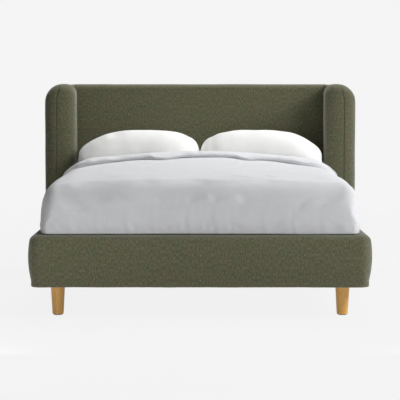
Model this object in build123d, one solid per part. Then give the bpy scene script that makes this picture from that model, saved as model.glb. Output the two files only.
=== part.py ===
# Queen size upholstered wingback bed, dressed with a mattress, fitted sheet, duvet and two pillows.
# All sizes are millimetres. +Z is up, -Y is the foot of the bed, and left and right are as seen
# from the foot. The origin is on the floor, at the middle of the bed's footprint.
import math
import os

from build123d import *

# Mattress and the room left round it
MATTRESS_WIDTH = 1524.0
MATTRESS_LENGTH = 2032.0
MATTRESS_HEIGHT = 278.0
MATTRESS_CORNER_RADIUS = 70.0
MATTRESS_EDGE_RADIUS = 30.0
MATTRESS_GAP = 8.0
SHEET_THICKNESS = 1.5
SHEET_HEM_RISE = 30.0

# Clearances shared by many pieces
FIT_GAP = 0.5
SOFT_GAP = 0.4
BOLT_CLEARANCE = 0.2
THREAD_CLEARANCE = 0.05
OVERRUN = 20.0

# Upholstery skin
FABRIC = 2.0

# Upholstered rails
RAIL_HEIGHT = 258.0
RAIL_THICKNESS = 85.0
RAIL_BOARD = 30.0
RAIL_TOP_FOAM = 14.0
RAIL_END_FOAM = 16.0
SKIRT_HEIGHT = 31.0
SKIRT_SETBACK = 14.0
BULGE_HEIGHT = 148.0
RAIL_TOP_RADIUS = 34.0
RAIL_INNER_RADIUS = 12.0
RAIL_BOTTOM_RADIUS = 5.0
FOOT_CORNER_RADIUS = 60.0

# Slats and the ledges that carry them
SLAT_TOP_DEPTH = 90.0
SLAT_THICKNESS = 20.0
SLAT_WIDTH = 68.0
SLAT_COUNT = 14
SLAT_END_GAP = 5.0
SLAT_MARGIN = 16.0
LEDGE_WIDTH = 25.0
LEDGE_HEIGHT = 40.0
TAPE_WIDTH = 30.0
TAPE_THICKNESS = 1.5
TAPE_INSET = 60.0
SCREW_RADIUS = 2.25
SCREW_HEAD_RADIUS = 4.5
SCREW_HEAD_HEIGHT = 2.5
SCREW_LENGTH = 40.0

# Headboard
HEADBOARD_HEIGHT = 1016.0
HEADBOARD_FOAM = 52.0
HEADBOARD_TOP_FOAM_DEPTH = 15.0
HEADBOARD_TOP_RADIUS = 30.0
HEADBOARD_BACK_RADIUS = 8.0
FACE_PANEL = 9.0
FRAME_DEPTH = 45.0
TOP_RAIL_HEIGHT = 90.0
STILE_WIDTH = 70.0
PAD_CLEARANCE = 6.0

# Wings
WING_THICKNESS = 190.0
WING_DEPTH = 330.0
WING_OUTER_RADIUS = 112.0
WING_INNER_RADIUS = 64.0
WING_FRONT_RADIUS = 46.0
WING_FRONT_FOAM = 38.0
WING_INNER_FOAM = 18.0
WING_OUTER_FOAM = 33.0
WING_TOP_FOAM_DEPTH = 90.0
WING_BOARD = 18.0
WING_POST = 36.0
WING_SEAM_INSET = 79.0
WING_BOLT_COUNT = 3
WING_BOLT_END = 60.0

# Machine bolts between wing and headboard
BOLT_RADIUS = 4.0
BOLT_HEAD_RADIUS = 7.0
BOLT_HEAD_HEIGHT = 5.0
BOLT_BITE = 42.0

# Hook fittings between the side rails and the posts
PLATE_WIDTH = 24.0
PLATE_HEIGHT = 140.0
PLATE_THICKNESS = 3.0
PLATE_RISE = 55.0
HOOK_THICKNESS = 4.0
HOOK_HEIGHT = 18.0
HOOK_DROP = 8.0
HOOK_TAB = 5.0
HOOK_SPACING = 70.0
HOOK_CLEARANCE = 1.0

# Corner legs
LEG_LENGTH = 148.0
LEG_TOP_DIAMETER = 72.0
LEG_FOOT_DIAMETER = 56.0
LEG_FOOT_RADIUS = 2.5
GLIDE_DIAMETER = 44.0
GLIDE_THICKNESS = 4.0
BLOCK_SIZE = 109.0
BLOCK_HEIGHT = 60.0
BLOCK_CHAMFER = 52.0
STUD_RADIUS = 4.0
STUD_IN_LEG = 40.0
STUD_IN_BLOCK = 44.0
STUD_TIP_GAP = 2.0
REAR_LEG_INSET = 100.0

# Centre support
BEAM_WIDTH = 45.0
BEAM_HEIGHT = 60.0
HANGER_STEEL = 3.0
HANGER_LENGTH = 45.0
HANGER_FLANGE = 26.0
CENTRE_LEG_DIAMETER = 46.0
CENTRE_LEG_COLLAR_DIAMETER = 60.0
CENTRE_LEG_COLLAR_HEIGHT = 12.0
CENTRE_LEG_SHARES = (0.64, 0.89)
LEVELLER_DIAMETER = 44.0
LEVELLER_HEIGHT = 10.0
LEVELLER_EDGE_RADIUS = 3.0
LEVELLER_STUD_RADIUS = 5.0
LEVELLER_STUD_LENGTH = 34.0

# Duvet: how far it stands above the mattress and beyond its sides, and its rounded ends
DUVET_HEM_GAP = 5.0
DUVET_TOP = 145.0
DUVET_SIDE = 68.0
DUVET_FOOT = 24.0
DUVET_LEAN = 38.0
DUVET_HEM_TUCK = 1.0
DUVET_CREST_FALL = 40.0
DUVET_SHOULDER_RADIUS = 230.0
DUVET_FOOT_LENGTH = 110.0
DUVET_FOOT_DROP = 110.0
DUVET_FOOT_DRAW = 60.0
DUVET_REACH_FROM_HEAD = 452.0
DUVET_FOLD_LENGTH = 70.0
DUVET_FOLD_DROP = 75.0
DUVET_FOLD_DRAW = 30.0
# Along the duvet: place from foot to head, then top, side, crest fall and shoulder radius, as shares
DUVET_STATION_SHARES = (
    (0.00, 0.53, 0.50, 0.50, 0.27),
    (0.25, 0.70, 0.74, 0.66, 0.45),
    (0.55, 0.88, 0.88, 0.85, 0.70),
    (0.78, 0.99, 0.96, 1.00, 1.00),
    (1.00, 0.99, 0.96, 1.00, 1.00),
)
DUVET_FLANK_SHARE = 0.12
ROUND_STEP_DEGREES = (0.0, 30.0, 60.0, 90.0)
# Flap: the folded back head end, with a soft free edge
FLAP_LENGTH = 365.0
FLAP_RISE = 30.0
FLAP_OVERHANG = 7.0
FLAP_EDGE = 20.0
FLAP_EDGE_SHARES = ((0.0, 0.0), (0.3, 0.62), (1.0, 1.0))

# Pillows
PILLOW_DEPTH = 440.0
PILLOW_CROWN = 178.0
PILLOW_BELLY = 104.0
PILLOW_DROOP = 26.0
PILLOW_MIDDLE_GAP = 2.0
PILLOW_SIDE_GAP = 14.0
PILLOW_TILT_DEGREES = 12.0
# Along the pillow from its inner end to its outer end: place, depth, thickness and droop, as shares
PILLOW_STATION_SHARES = (
    (-0.500, 0.86, 0.11, 0.10),
    (-0.470, 0.94, 0.46, 0.05),
    (-0.380, 0.99, 0.79, 0.0),
    (-0.250, 1.00, 0.96, 0.0),
    (-0.080, 0.98, 1.00, 0.0),
    (0.120, 0.98, 0.97, 0.0),
    (0.260, 1.00, 0.86, 0.05),
    (0.380, 0.99, 0.60, 0.25),
    (0.465, 0.94, 0.32, 0.65),
    (0.500, 0.86, 0.11, 1.00),
)

# Places that follow from the sizes above
inner_x = MATTRESS_WIDTH / 2 + MATTRESS_GAP
rail_outer_x = inner_x + RAIL_THICKNESS
wing_outer_x = inner_x + WING_THICKNESS
headboard_thickness = FABRIC + HEADBOARD_FOAM + FACE_PANEL + FRAME_DEPTH + FABRIC
bed_length = RAIL_THICKNESS + MATTRESS_GAP + MATTRESS_LENGTH + MATTRESS_GAP + headboard_thickness
front_y = -bed_length / 2
back_y = bed_length / 2
foot_inner_y = front_y + RAIL_THICKNESS
mattress_front_y = foot_inner_y + MATTRESS_GAP
mattress_back_y = mattress_front_y + MATTRESS_LENGTH
head_face_y = mattress_back_y + MATTRESS_GAP
panel_front_y = head_face_y + FABRIC + HEADBOARD_FOAM
frame_front_y = panel_front_y + FACE_PANEL
frame_back_y = back_y - FABRIC
recess_y = panel_front_y - FABRIC
wing_front_y = back_y - WING_DEPTH
post_front_y = wing_front_y + FABRIC + WING_FRONT_FOAM
frame_inner_x = inner_x + FABRIC + WING_INNER_FOAM
frame_outer_x = wing_outer_x - FABRIC - WING_OUTER_FOAM
headboard_half = frame_inner_x - FIT_GAP
rail_bottom = LEG_LENGTH + GLIDE_THICKNESS
rail_top = rail_bottom + RAIL_HEIGHT
board_bottom = rail_bottom + FABRIC
board_top = rail_top - FABRIC - RAIL_TOP_FOAM
slat_top = rail_top - SLAT_TOP_DEPTH
slat_bottom = slat_top - SLAT_THICKNESS
beam_bottom = slat_bottom - BEAM_HEIGHT
mattress_top = slat_top + MATTRESS_HEIGHT
headboard_top = rail_bottom + HEADBOARD_HEIGHT
frame_top = headboard_top - FABRIC - HEADBOARD_TOP_FOAM_DEPTH
wing_frame_top = headboard_top - FABRIC - WING_TOP_FOAM_DEPTH
pad_bottom = slat_bottom + PAD_CLEARANCE
leg_x = inner_x - BLOCK_SIZE / 2
front_leg_y = foot_inner_y + BLOCK_SIZE / 2
rear_leg_x = (inner_x + wing_outer_x) / 2
rear_leg_y = wing_front_y + REAR_LEG_INSET
plate_x = inner_x + FABRIC + RAIL_BOARD / 2
plate_bottom = rail_bottom + PLATE_RISE
bolt_y = (frame_front_y + frame_back_y) / 2
sheet_gap = SOFT_GAP + SHEET_THICKNESS
pillow_width = inner_x - PILLOW_SIDE_GAP - PILLOW_MIDDLE_GAP / 2


def block(x_span, y_span, z_span):
    """A box between pairs of low and high places."""
    sizes = [high - low for low, high in (x_span, y_span, z_span)]
    middle = [(low + high) / 2 for low, high in (x_span, y_span, z_span)]
    return Pos(*middle) * Box(*sizes)


def upright(radius, x, y, z_span):
    """A vertical round bar or hole."""
    low, high = z_span
    return Pos(x, y, (low + high) / 2) * Cylinder(radius, high - low)


def mirrored(shape):
    """The same piece on the other side of the bed."""
    return mirror(shape, about=Plane.YZ)


def round_corner(face, corner, radius):
    """Rounds the corner of a flat outline that lies nearest a point."""
    nearest = min(face.vertices(), key=lambda v: (v.X - corner[0]) ** 2 + (v.Y - corner[1]) ** 2)
    return fillet([nearest], radius)


def solid_of(shape):
    """The largest solid of a shape, which drops slivers that a cut may leave."""
    return shape.solids().sort_by(SortBy.VOLUME)[-1]


def across_plane(y):
    """A sketch plane across the bed, with X to the right and Y upwards."""
    return Plane(origin=(0, y, 0), x_dir=(1, 0, 0), z_dir=(0, -1, 0))


def along_plane(x):
    """A sketch plane along the bed, with X towards the foot and Y upwards."""
    return Plane(origin=(x, 0, 0), x_dir=(0, -1, 0), z_dir=(-1, 0, 0))


# Upholstered rails
def rail_outline(inset):
    """A rail's section from its inner face outwards: a short upright skirt below a long soft bulge."""
    bulge_rise = BULGE_HEIGHT - SKIRT_HEIGHT
    bulge_radius = (bulge_rise**2 + SKIRT_SETBACK**2) / (2 * SKIRT_SETBACK)
    centre_u = RAIL_THICKNESS - bulge_radius
    radius = bulge_radius - inset
    skirt_u = RAIL_THICKNESS - SKIRT_SETBACK - inset
    skirt_v = BULGE_HEIGHT - math.sqrt(radius**2 - (skirt_u - centre_u) ** 2)
    top_v = RAIL_HEIGHT - inset
    top_u = centre_u + math.sqrt(radius**2 - (top_v - BULGE_HEIGHT) ** 2)
    edges = [
        Line((inset, inset), (skirt_u, inset)),
        Line((skirt_u, inset), (skirt_u, skirt_v)),
        ThreePointArc((skirt_u, skirt_v), (centre_u + radius, BULGE_HEIGHT), (top_u, top_v)),
        Line((top_u, top_v), (inset, top_v)),
        Line((inset, top_v), (inset, inset)),
    ]
    face = make_face(Wire(edges))
    face = round_corner(face, (top_u, top_v), RAIL_TOP_RADIUS - inset)
    face = round_corner(face, (inset, top_v), RAIL_INNER_RADIUS - inset)
    return round_corner(face, (skirt_u, inset), RAIL_BOTTOM_RADIUS - inset)


def side_rail_body(inset, y_span):
    """The right side rail's padded length between two places along the bed."""
    low, high = y_span
    plane = Plane(origin=(inner_x, low, rail_bottom), x_dir=(1, 0, 0), z_dir=(0, -1, 0))
    return extrude(plane * rail_outline(inset), amount=high - low, dir=(0, 1, 0))


def foot_rail_body(inset):
    """The foot rail: the same section carried straight across and round both front corners."""
    centre_x = rail_outer_x - FOOT_CORNER_RADIUS
    centre_y = front_y + FOOT_CORNER_RADIUS
    cut_u = RAIL_THICKNESS - FOOT_CORNER_RADIUS
    outline = rail_outline(inset)
    across = Plane(origin=(-centre_x, foot_inner_y, rail_bottom), x_dir=(0, -1, 0), z_dir=(-1, 0, 0))
    middle = extrude(across * outline, amount=2 * centre_x, dir=(1, 0, 0))
    keep = Pos((cut_u + RAIL_THICKNESS + OVERRUN) / 2, RAIL_HEIGHT / 2) * Rectangle(
        FOOT_CORNER_RADIUS + OVERRUN, RAIL_HEIGHT + OVERRUN
    )
    end_face = Pos(-cut_u, 0) * (outline & keep)
    stand = Plane(origin=(0, 0, 0), x_dir=(1, 0, 0), z_dir=(0, -1, 0)) * end_face
    quarter = revolve(stand, axis=Axis.Z, revolution_arc=90)
    corner = Pos(centre_x, centre_y, rail_bottom) * Rot(0, 0, -90) * quarter
    side_length = foot_inner_y - inset - centre_y
    side = Pos(centre_x, centre_y, rail_bottom) * extrude(stand, amount=side_length, dir=(0, 1, 0))
    return middle + corner + side + mirrored(corner) + mirrored(side)


def hook_plate(toward_head):
    """A rail-end plate with two down-turned hooks, and the space its hooks take, facing the head."""
    plate_span = (plate_x - PLATE_WIDTH / 2, plate_x + PLATE_WIDTH / 2)
    z_span = (plate_bottom, plate_bottom + PLATE_HEIGHT)
    joint_y = post_front_y - FIT_GAP
    plate = block(plate_span, (joint_y - PLATE_THICKNESS, joint_y), z_span)
    slots, pockets = [], []
    tab_start = post_front_y + PLATE_THICKNESS + HOOK_CLEARANCE
    tab_end = tab_start + HOOK_TAB
    middle_z = plate_bottom + PLATE_HEIGHT / 2
    for side in (-1, 1):
        z = middle_z + side * HOOK_SPACING / 2 - HOOK_HEIGHT / 2
        x_span = (plate_x - HOOK_THICKNESS / 2, plate_x + HOOK_THICKNESS / 2)
        plate += block(x_span, (joint_y, tab_end), (z, z + HOOK_HEIGHT))
        plate += block(x_span, (tab_start, tab_end), (z - HOOK_DROP, z + HOOK_HEIGHT))
        wide = (x_span[0] - HOOK_CLEARANCE, x_span[1] + HOOK_CLEARANCE)
        slot_top = z + HOOK_HEIGHT + HOOK_DROP + HOOK_CLEARANCE
        slots.append(block(wide, (post_front_y - OVERRUN, tab_start), (z, slot_top)))
        pocket_y = (post_front_y, tab_end + HOOK_CLEARANCE)
        pockets.append(block(wide, pocket_y, (z - HOOK_DROP - HOOK_CLEARANCE, slot_top)))
    seat = block(plate_span, (post_front_y, post_front_y + PLATE_THICKNESS), z_span)
    slotted = seat
    for slot in slots:
        slotted -= slot
    cavity = seat
    for pocket in pockets:
        cavity += pocket
    if toward_head:
        return plate, slotted, cavity
    turn = mirror_about_y((post_front_y + foot_inner_y) / 2)
    return turn(plate), turn(slotted), turn(cavity)


def mirror_about_y(y):
    """A mirror across a plane that stands across the bed."""
    plane = Plane(origin=(0, y, 0), z_dir=(0, 1, 0))
    return lambda shape: mirror(shape, about=plane)


def make_rails(parts):
    """Side rails, foot rail and their hook fittings."""
    rail_span = (foot_inner_y + FIT_GAP, post_front_y - FIT_GAP)
    board_x = (inner_x + FABRIC, inner_x + FABRIC + RAIL_BOARD)
    outer = side_rail_body(0, rail_span)
    inner = side_rail_body(FABRIC, (rail_span[0] - OVERRUN, rail_span[1] + OVERRUN))
    padding = side_rail_body(FABRIC, rail_span)
    board = block(board_x, rail_span, (board_bottom, board_top))
    head_plate, head_slots, head_cavity = hook_plate(True)
    foot_plate, foot_slots, foot_cavity = hook_plate(False)
    cover = outer - inner
    foam = padding - board
    board = board - head_plate - foot_plate
    ledge_x = (inner_x - LEDGE_WIDTH, inner_x)
    ledge_y = (foot_inner_y + FIT_GAP, recess_y - FIT_GAP)
    ledge = block(ledge_x, ledge_y, (slat_bottom - LEDGE_HEIGHT, slat_bottom))
    for x, y in slat_screw_places():
        ledge -= upright(SCREW_RADIUS + BOLT_CLEARANCE, x, y, screw_span())
    for name, shape in (("board", board), ("foam", foam), ("cover", cover)):
        parts[f"side_rail_{name}_right"] = shape
        parts[f"side_rail_{name}_left"] = mirrored(shape)
    parts["slat_ledge_right"] = ledge
    parts["slat_ledge_left"] = mirrored(ledge)

    board_half = rail_outer_x - SKIRT_SETBACK - FABRIC - RAIL_END_FOAM
    board_y = (foot_inner_y - FABRIC - RAIL_BOARD, foot_inner_y - FABRIC)
    full_board = block((-board_half, board_half), board_y, (board_bottom, board_top))
    foot_cavities = foot_cavity + mirrored(foot_cavity)
    foot_outer = foot_rail_body(0)
    foot_inner = foot_rail_body(FABRIC)
    parts["foot_rail_board"] = full_board - foot_cavities
    parts["foot_rail_foam"] = foot_inner - full_board
    parts["foot_rail_cover"] = foot_outer - foot_inner - foot_cavities
    parts["rail_hook_plates"] = Compound(
        [solid_of(s) for s in (head_plate, foot_plate, mirrored(head_plate), mirrored(foot_plate))]
    )
    parts["post_slot_plates"] = Compound(
        [solid_of(s) for s in (head_slots, foot_slots, mirrored(head_slots), mirrored(foot_slots))]
    )
    return head_cavity


# Headboard between the wings
def headboard_outline(inset):
    """The headboard's section from front to back: a padded face above, set back below the mattress."""
    corners = [
        (head_face_y + inset, pad_bottom + inset),
        (head_face_y + inset, headboard_top - inset),
        (back_y - inset, headboard_top - inset),
        (back_y - inset, rail_bottom + inset),
        (recess_y + inset, rail_bottom + inset),
        (recess_y + inset, pad_bottom + inset),
    ]
    places = [(-y, z) for y, z in corners]
    face = make_face(Polyline(*places, close=True))
    face = round_corner(face, places[1], HEADBOARD_TOP_RADIUS - inset)
    return round_corner(face, places[2], HEADBOARD_BACK_RADIUS - inset)


def headboard_body(inset):
    """The headboard's whole width, less an inset all round."""
    half = headboard_half - inset
    return extrude(along_plane(-half) * headboard_outline(inset), amount=2 * half, dir=(1, 0, 0))


def wing_bolt_heights():
    """Heights of the bolts that hold a wing to the headboard's outer stile."""
    low = slat_top + WING_BOLT_END
    high = wing_frame_top - WING_BOLT_END
    step = (high - low) / max(WING_BOLT_COUNT - 1, 1)
    return [low + step * i for i in range(WING_BOLT_COUNT)]


def bolt_bar(radius, x_span, z):
    """A round bar or hole along the bed's width, at the bolts' depth."""
    low, high = x_span
    return Pos((low + high) / 2, bolt_y, z) * Rot(0, 90, 0) * Cylinder(radius, high - low)


def make_headboard(parts):
    """Timber frame, face panel, foam, cover and back cloth, drilled for the wing bolts."""
    inside_half = headboard_half - FABRIC
    shell = headboard_body(0) - headboard_body(FABRIC)
    cloth_top = headboard_top - HEADBOARD_BACK_RADIUS - FABRIC
    cloth = block((-inside_half, inside_half), (frame_back_y, back_y), (board_bottom, cloth_top))
    frame_space = block(
        (-inside_half, inside_half), (panel_front_y, frame_back_y), (board_bottom, frame_top)
    )
    foam = solid_of(headboard_body(FABRIC) - frame_space)
    shell -= cloth
    frame_y = (frame_front_y, frame_back_y)
    rail_x = (-inside_half, inside_half)
    top_bottom = frame_top - TOP_RAIL_HEIGHT
    stile_z = (slat_top, top_bottom)
    stile_right = block((inside_half - STILE_WIDTH, inside_half), frame_y, stile_z)
    bolt_reach = (frame_inner_x - FIT_GAP - FABRIC - BOLT_BITE - OVERRUN, frame_inner_x + OVERRUN)
    for z in wing_bolt_heights():
        hole = bolt_bar(BOLT_RADIUS + BOLT_CLEARANCE, bolt_reach, z)
        stile_right -= hole
        shell -= hole + mirrored(hole)
    stile_centre = block((-STILE_WIDTH / 2, STILE_WIDTH / 2), frame_y, stile_z)
    parts["headboard_stiles"] = Compound(
        [solid_of(s) for s in (mirrored(stile_right), stile_centre, stile_right)]
    )
    parts["headboard_top_rail"] = block(rail_x, frame_y, (top_bottom, frame_top))
    parts["headboard_bottom_rail"] = block(rail_x, frame_y, (board_bottom, slat_top))
    parts["headboard_face_panel"] = block(rail_x, (panel_front_y, frame_front_y), (board_bottom, frame_top))
    parts["headboard_foam"] = foam
    parts["headboard_cover"] = shell
    parts["headboard_back_cloth"] = cloth


# Wings
def wing_body(inset):
    """The right wing: a tall padded block with a domed top and a rounded front."""
    low_x, high_x = inner_x + inset, wing_outer_x - inset
    low_z, high_z = rail_bottom + inset, headboard_top - inset
    face = make_face(Polyline((low_x, low_z), (high_x, low_z), (high_x, high_z), (low_x, high_z), close=True))
    face = round_corner(face, (high_x, high_z), WING_OUTER_RADIUS - inset)
    face = round_corner(face, (low_x, high_z), WING_INNER_RADIUS - inset)
    start_y, end_y = wing_front_y + inset, back_y - inset
    body = extrude(across_plane(start_y) * face, amount=end_y - start_y, dir=(0, 1, 0))
    front_edges = body.faces().sort_by(Axis.Y)[0].edges().sort_by(Axis.Z)[1:]
    body = fillet(front_edges, WING_FRONT_RADIUS - inset)
    back_edges = body.faces().sort_by(Axis.Y)[-1].edges().sort_by(Axis.Z)[1:]
    return fillet(back_edges, HEADBOARD_BACK_RADIUS - inset)


def make_wings(parts, post_cavity):
    """Box frame, foam and two-panel cover of each wing, and the bolts to the headboard."""
    seat_for_headboard = block(
        (inner_x - OVERRUN, frame_inner_x), (head_face_y, back_y + OVERRUN), (0, headboard_top + OVERRUN)
    )
    notch_span = (wing_front_y - OVERRUN, post_front_y)
    rail_room = side_rail_body(-FIT_GAP, notch_span)
    rail_room += block(
        (inner_x - OVERRUN, inner_x + RAIL_INNER_RADIUS), notch_span, (rail_bottom - OVERRUN, rail_top + FIT_GAP)
    )
    rail_room += block(
        (inner_x - OVERRUN, rail_outer_x - SKIRT_SETBACK), notch_span, (rail_bottom - OVERRUN, board_bottom)
    )
    frame_room = block(
        (frame_inner_x, frame_outer_x), (post_front_y, frame_back_y), (board_bottom, wing_frame_top)
    )
    front_post_y = (post_front_y, post_front_y + WING_POST)
    base_top = board_bottom + WING_BOARD
    outer, inner = wing_body(0), wing_body(FABRIC)
    shoe = block((inner_x, frame_inner_x), front_post_y, (base_top, board_top)) & inner
    foam = solid_of(inner - frame_room - shoe - seat_for_headboard - rail_room - post_cavity)
    skin = outer - inner - seat_for_headboard - rail_room
    seam_x = wing_outer_x - WING_SEAM_INSET
    reach_y = (wing_front_y - OVERRUN, back_y + OVERRUN)
    reach_z = (rail_bottom - OVERRUN, headboard_top + OVERRUN)
    outer_side = block((seam_x, wing_outer_x + OVERRUN), reach_y, reach_z)
    inner_side = block((inner_x - OVERRUN, seam_x), reach_y, reach_z)
    post_x = (frame_inner_x, frame_outer_x)
    board_z = (base_top, wing_frame_top)
    rear_post_y = (frame_back_y - WING_POST, frame_back_y)
    between_y = (front_post_y[1], rear_post_y[0])
    front_post = block(post_x, front_post_y, board_z) + shoe - post_cavity
    rear_post = block(post_x, rear_post_y, board_z)
    inner_board = block((frame_inner_x, frame_inner_x + WING_BOARD), between_y, board_z)
    outer_board = block((frame_outer_x - WING_BOARD, frame_outer_x), between_y, board_z)
    base = block(post_x, (post_front_y, frame_back_y), (board_bottom, base_top))
    stud_hole_span = (board_bottom - OVERRUN, base_top + OVERRUN)
    stud_hole = upright(STUD_RADIUS + BOLT_CLEARANCE, rear_leg_x, rear_leg_y, stud_hole_span)
    bolts = []
    shank_end = frame_inner_x - FIT_GAP - FABRIC - BOLT_BITE
    head_x = max(frame_inner_x + WING_BOARD, frame_inner_x)
    for z in wing_bolt_heights():
        rear_post -= bolt_bar(BOLT_RADIUS + BOLT_CLEARANCE, (frame_inner_x - OVERRUN, head_x), z)
        rear_post -= bolt_bar(BOLT_HEAD_RADIUS + BOLT_CLEARANCE, (head_x, frame_outer_x + OVERRUN), z)
        bolt = bolt_bar(BOLT_RADIUS, (shank_end, head_x), z)
        bolt += bolt_bar(BOLT_HEAD_RADIUS, (head_x, head_x + BOLT_HEAD_HEIGHT), z)
        bolts += [bolt, mirrored(bolt)]
    pieces = {
        "front_post": front_post,
        "rear_post": rear_post,
        "inner_board": inner_board,
        "outer_board": outer_board,
        "base_board": base - stud_hole,
        "foam": foam,
        "inner_cover": (skin & inner_side) - stud_hole,
        "outer_cover": (skin & outer_side) - stud_hole,
    }
    for name, shape in pieces.items():
        parts[f"wing_{name}_right"] = shape
        parts[f"wing_{name}_left"] = mirrored(shape)
    parts["wing_bolts"] = Compound([solid_of(b) for b in bolts])


# Legs, corner blocks and centre support
def make_legs(parts):
    """Four turned legs with their studs and felt glides, and the blocks over the front pair."""
    leg = Pos(0, 0, GLIDE_THICKNESS + LEG_LENGTH / 2) * Cone(
        LEG_FOOT_DIAMETER / 2, LEG_TOP_DIAMETER / 2, LEG_LENGTH
    )
    leg = fillet(leg.edges().sort_by(Axis.Z)[0:1], LEG_FOOT_RADIUS)
    leg -= upright(
        STUD_RADIUS + BOLT_CLEARANCE, 0, 0, (rail_bottom - STUD_IN_LEG - STUD_TIP_GAP, rail_bottom + OVERRUN)
    )
    glide = upright(GLIDE_DIAMETER / 2, 0, 0, (0, GLIDE_THICKNESS))
    front_stud = upright(STUD_RADIUS, 0, 0, (rail_bottom - STUD_IN_LEG, rail_bottom + STUD_IN_BLOCK))
    rear_stud = upright(
        STUD_RADIUS, 0, 0, (rail_bottom - STUD_IN_LEG, board_bottom + WING_BOARD)
    )
    places = {
        "front_left": (-leg_x, front_leg_y, front_stud),
        "front_right": (leg_x, front_leg_y, front_stud),
        "rear_left": (-rear_leg_x, rear_leg_y, rear_stud),
        "rear_right": (rear_leg_x, rear_leg_y, rear_stud),
    }
    studs, glides = [], []
    for name, (x, y, stud) in places.items():
        parts[f"leg_{name}"] = Pos(x, y, 0) * leg
        studs.append(Pos(x, y, 0) * stud)
        glides.append(Pos(x, y, 0) * glide)
    parts["leg_studs"] = Compound([solid_of(s) for s in studs])
    parts["leg_glides"] = Compound([solid_of(s) for s in glides])

    corner = make_face(
        Polyline(
            (inner_x, foot_inner_y),
            (inner_x - BLOCK_SIZE, foot_inner_y),
            (inner_x - BLOCK_SIZE, foot_inner_y + BLOCK_SIZE - BLOCK_CHAMFER),
            (inner_x - BLOCK_SIZE + BLOCK_CHAMFER, foot_inner_y + BLOCK_SIZE),
            (inner_x, foot_inner_y + BLOCK_SIZE),
            close=True,
        )
    )
    corner_block = Pos(0, 0, rail_bottom) * extrude(corner, amount=BLOCK_HEIGHT, dir=(0, 0, 1))
    hole_span = (rail_bottom - OVERRUN, rail_bottom + STUD_IN_BLOCK + STUD_TIP_GAP)
    corner_block -= upright(STUD_RADIUS + BOLT_CLEARANCE, leg_x, front_leg_y, hole_span)
    parts["corner_block_right"] = corner_block
    parts["corner_block_left"] = mirrored(corner_block)


def beam_hanger(face_y, into_bed):
    """A steel saddle that carries one end of the centre beam; into_bed is its direction along Y."""
    half = BEAM_WIDTH / 2 + FIT_GAP
    floor_z = beam_bottom - HANGER_STEEL
    far_y = face_y + into_bed * HANGER_LENGTH
    y_span = (min(face_y, far_y), max(face_y, far_y))
    plate_y = face_y + into_bed * HANGER_STEEL
    plate_span = (min(face_y, plate_y), max(face_y, plate_y))
    saddle = block((-half - HANGER_STEEL, half + HANGER_STEEL), y_span, (floor_z, slat_bottom - FIT_GAP))
    saddle -= block((-half, half), y_span, (beam_bottom, slat_bottom + OVERRUN))
    wide = half + HANGER_FLANGE
    saddle += block((-wide, wide), plate_span, (floor_z, slat_bottom - FIT_GAP))
    return solid_of(saddle)


def make_centre_support(parts):
    """Beam, hangers, two legs and their screw-in levelling feet."""
    beam_y = (foot_inner_y + HANGER_STEEL + FIT_GAP, recess_y - HANGER_STEEL - FIT_GAP)
    beam = block((-BEAM_WIDTH / 2, BEAM_WIDTH / 2), beam_y, (beam_bottom, slat_bottom))
    parts["beam_hangers"] = Compound([beam_hanger(foot_inner_y, 1), beam_hanger(recess_y, -1)])
    bore_top = LEVELLER_HEIGHT + LEVELLER_STUD_LENGTH + STUD_TIP_GAP
    names = ("front", "rear")
    for name, share in zip(names, CENTRE_LEG_SHARES):
        y = beam_y[0] + share * (beam_y[1] - beam_y[0])
        leg = upright(CENTRE_LEG_DIAMETER / 2, 0, y, (LEVELLER_HEIGHT, beam_bottom))
        leg += upright(
            CENTRE_LEG_COLLAR_DIAMETER / 2, 0, y, (beam_bottom - CENTRE_LEG_COLLAR_HEIGHT, beam_bottom)
        )
        leg -= upright(LEVELLER_STUD_RADIUS + THREAD_CLEARANCE, 0, y, (0, bore_top))
        foot = upright(LEVELLER_DIAMETER / 2, 0, y, (0, LEVELLER_HEIGHT))
        foot = fillet(foot.edges().sort_by(Axis.Z)[-1:], LEVELLER_EDGE_RADIUS)
        foot += upright(LEVELLER_STUD_RADIUS, 0, y, (0, LEVELLER_HEIGHT + LEVELLER_STUD_LENGTH))
        parts[f"centre_leg_{name}"] = leg
        parts[f"levelling_foot_{name}"] = foot
    parts["centre_beam"] = beam


# Slats
def slat_places():
    """Middle of each slat along the bed."""
    first = foot_inner_y + SLAT_MARGIN + SLAT_WIDTH / 2
    last = head_face_y - SLAT_MARGIN - SLAT_WIDTH / 2
    step = (last - first) / (SLAT_COUNT - 1)
    return [first + step * i for i in range(SLAT_COUNT)]


def slat_screw_places():
    """Places on the right ledge of the screws in the first and last slats."""
    middle_x = inner_x - LEDGE_WIDTH / 2
    places = slat_places()
    return [(middle_x, places[0]), (middle_x, places[-1])]


def screw_span():
    """Heights between a slat screw's tip, with room below it, and above its head."""
    return (slat_top - SCREW_LENGTH - STUD_TIP_GAP, slat_top + OVERRUN)


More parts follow.
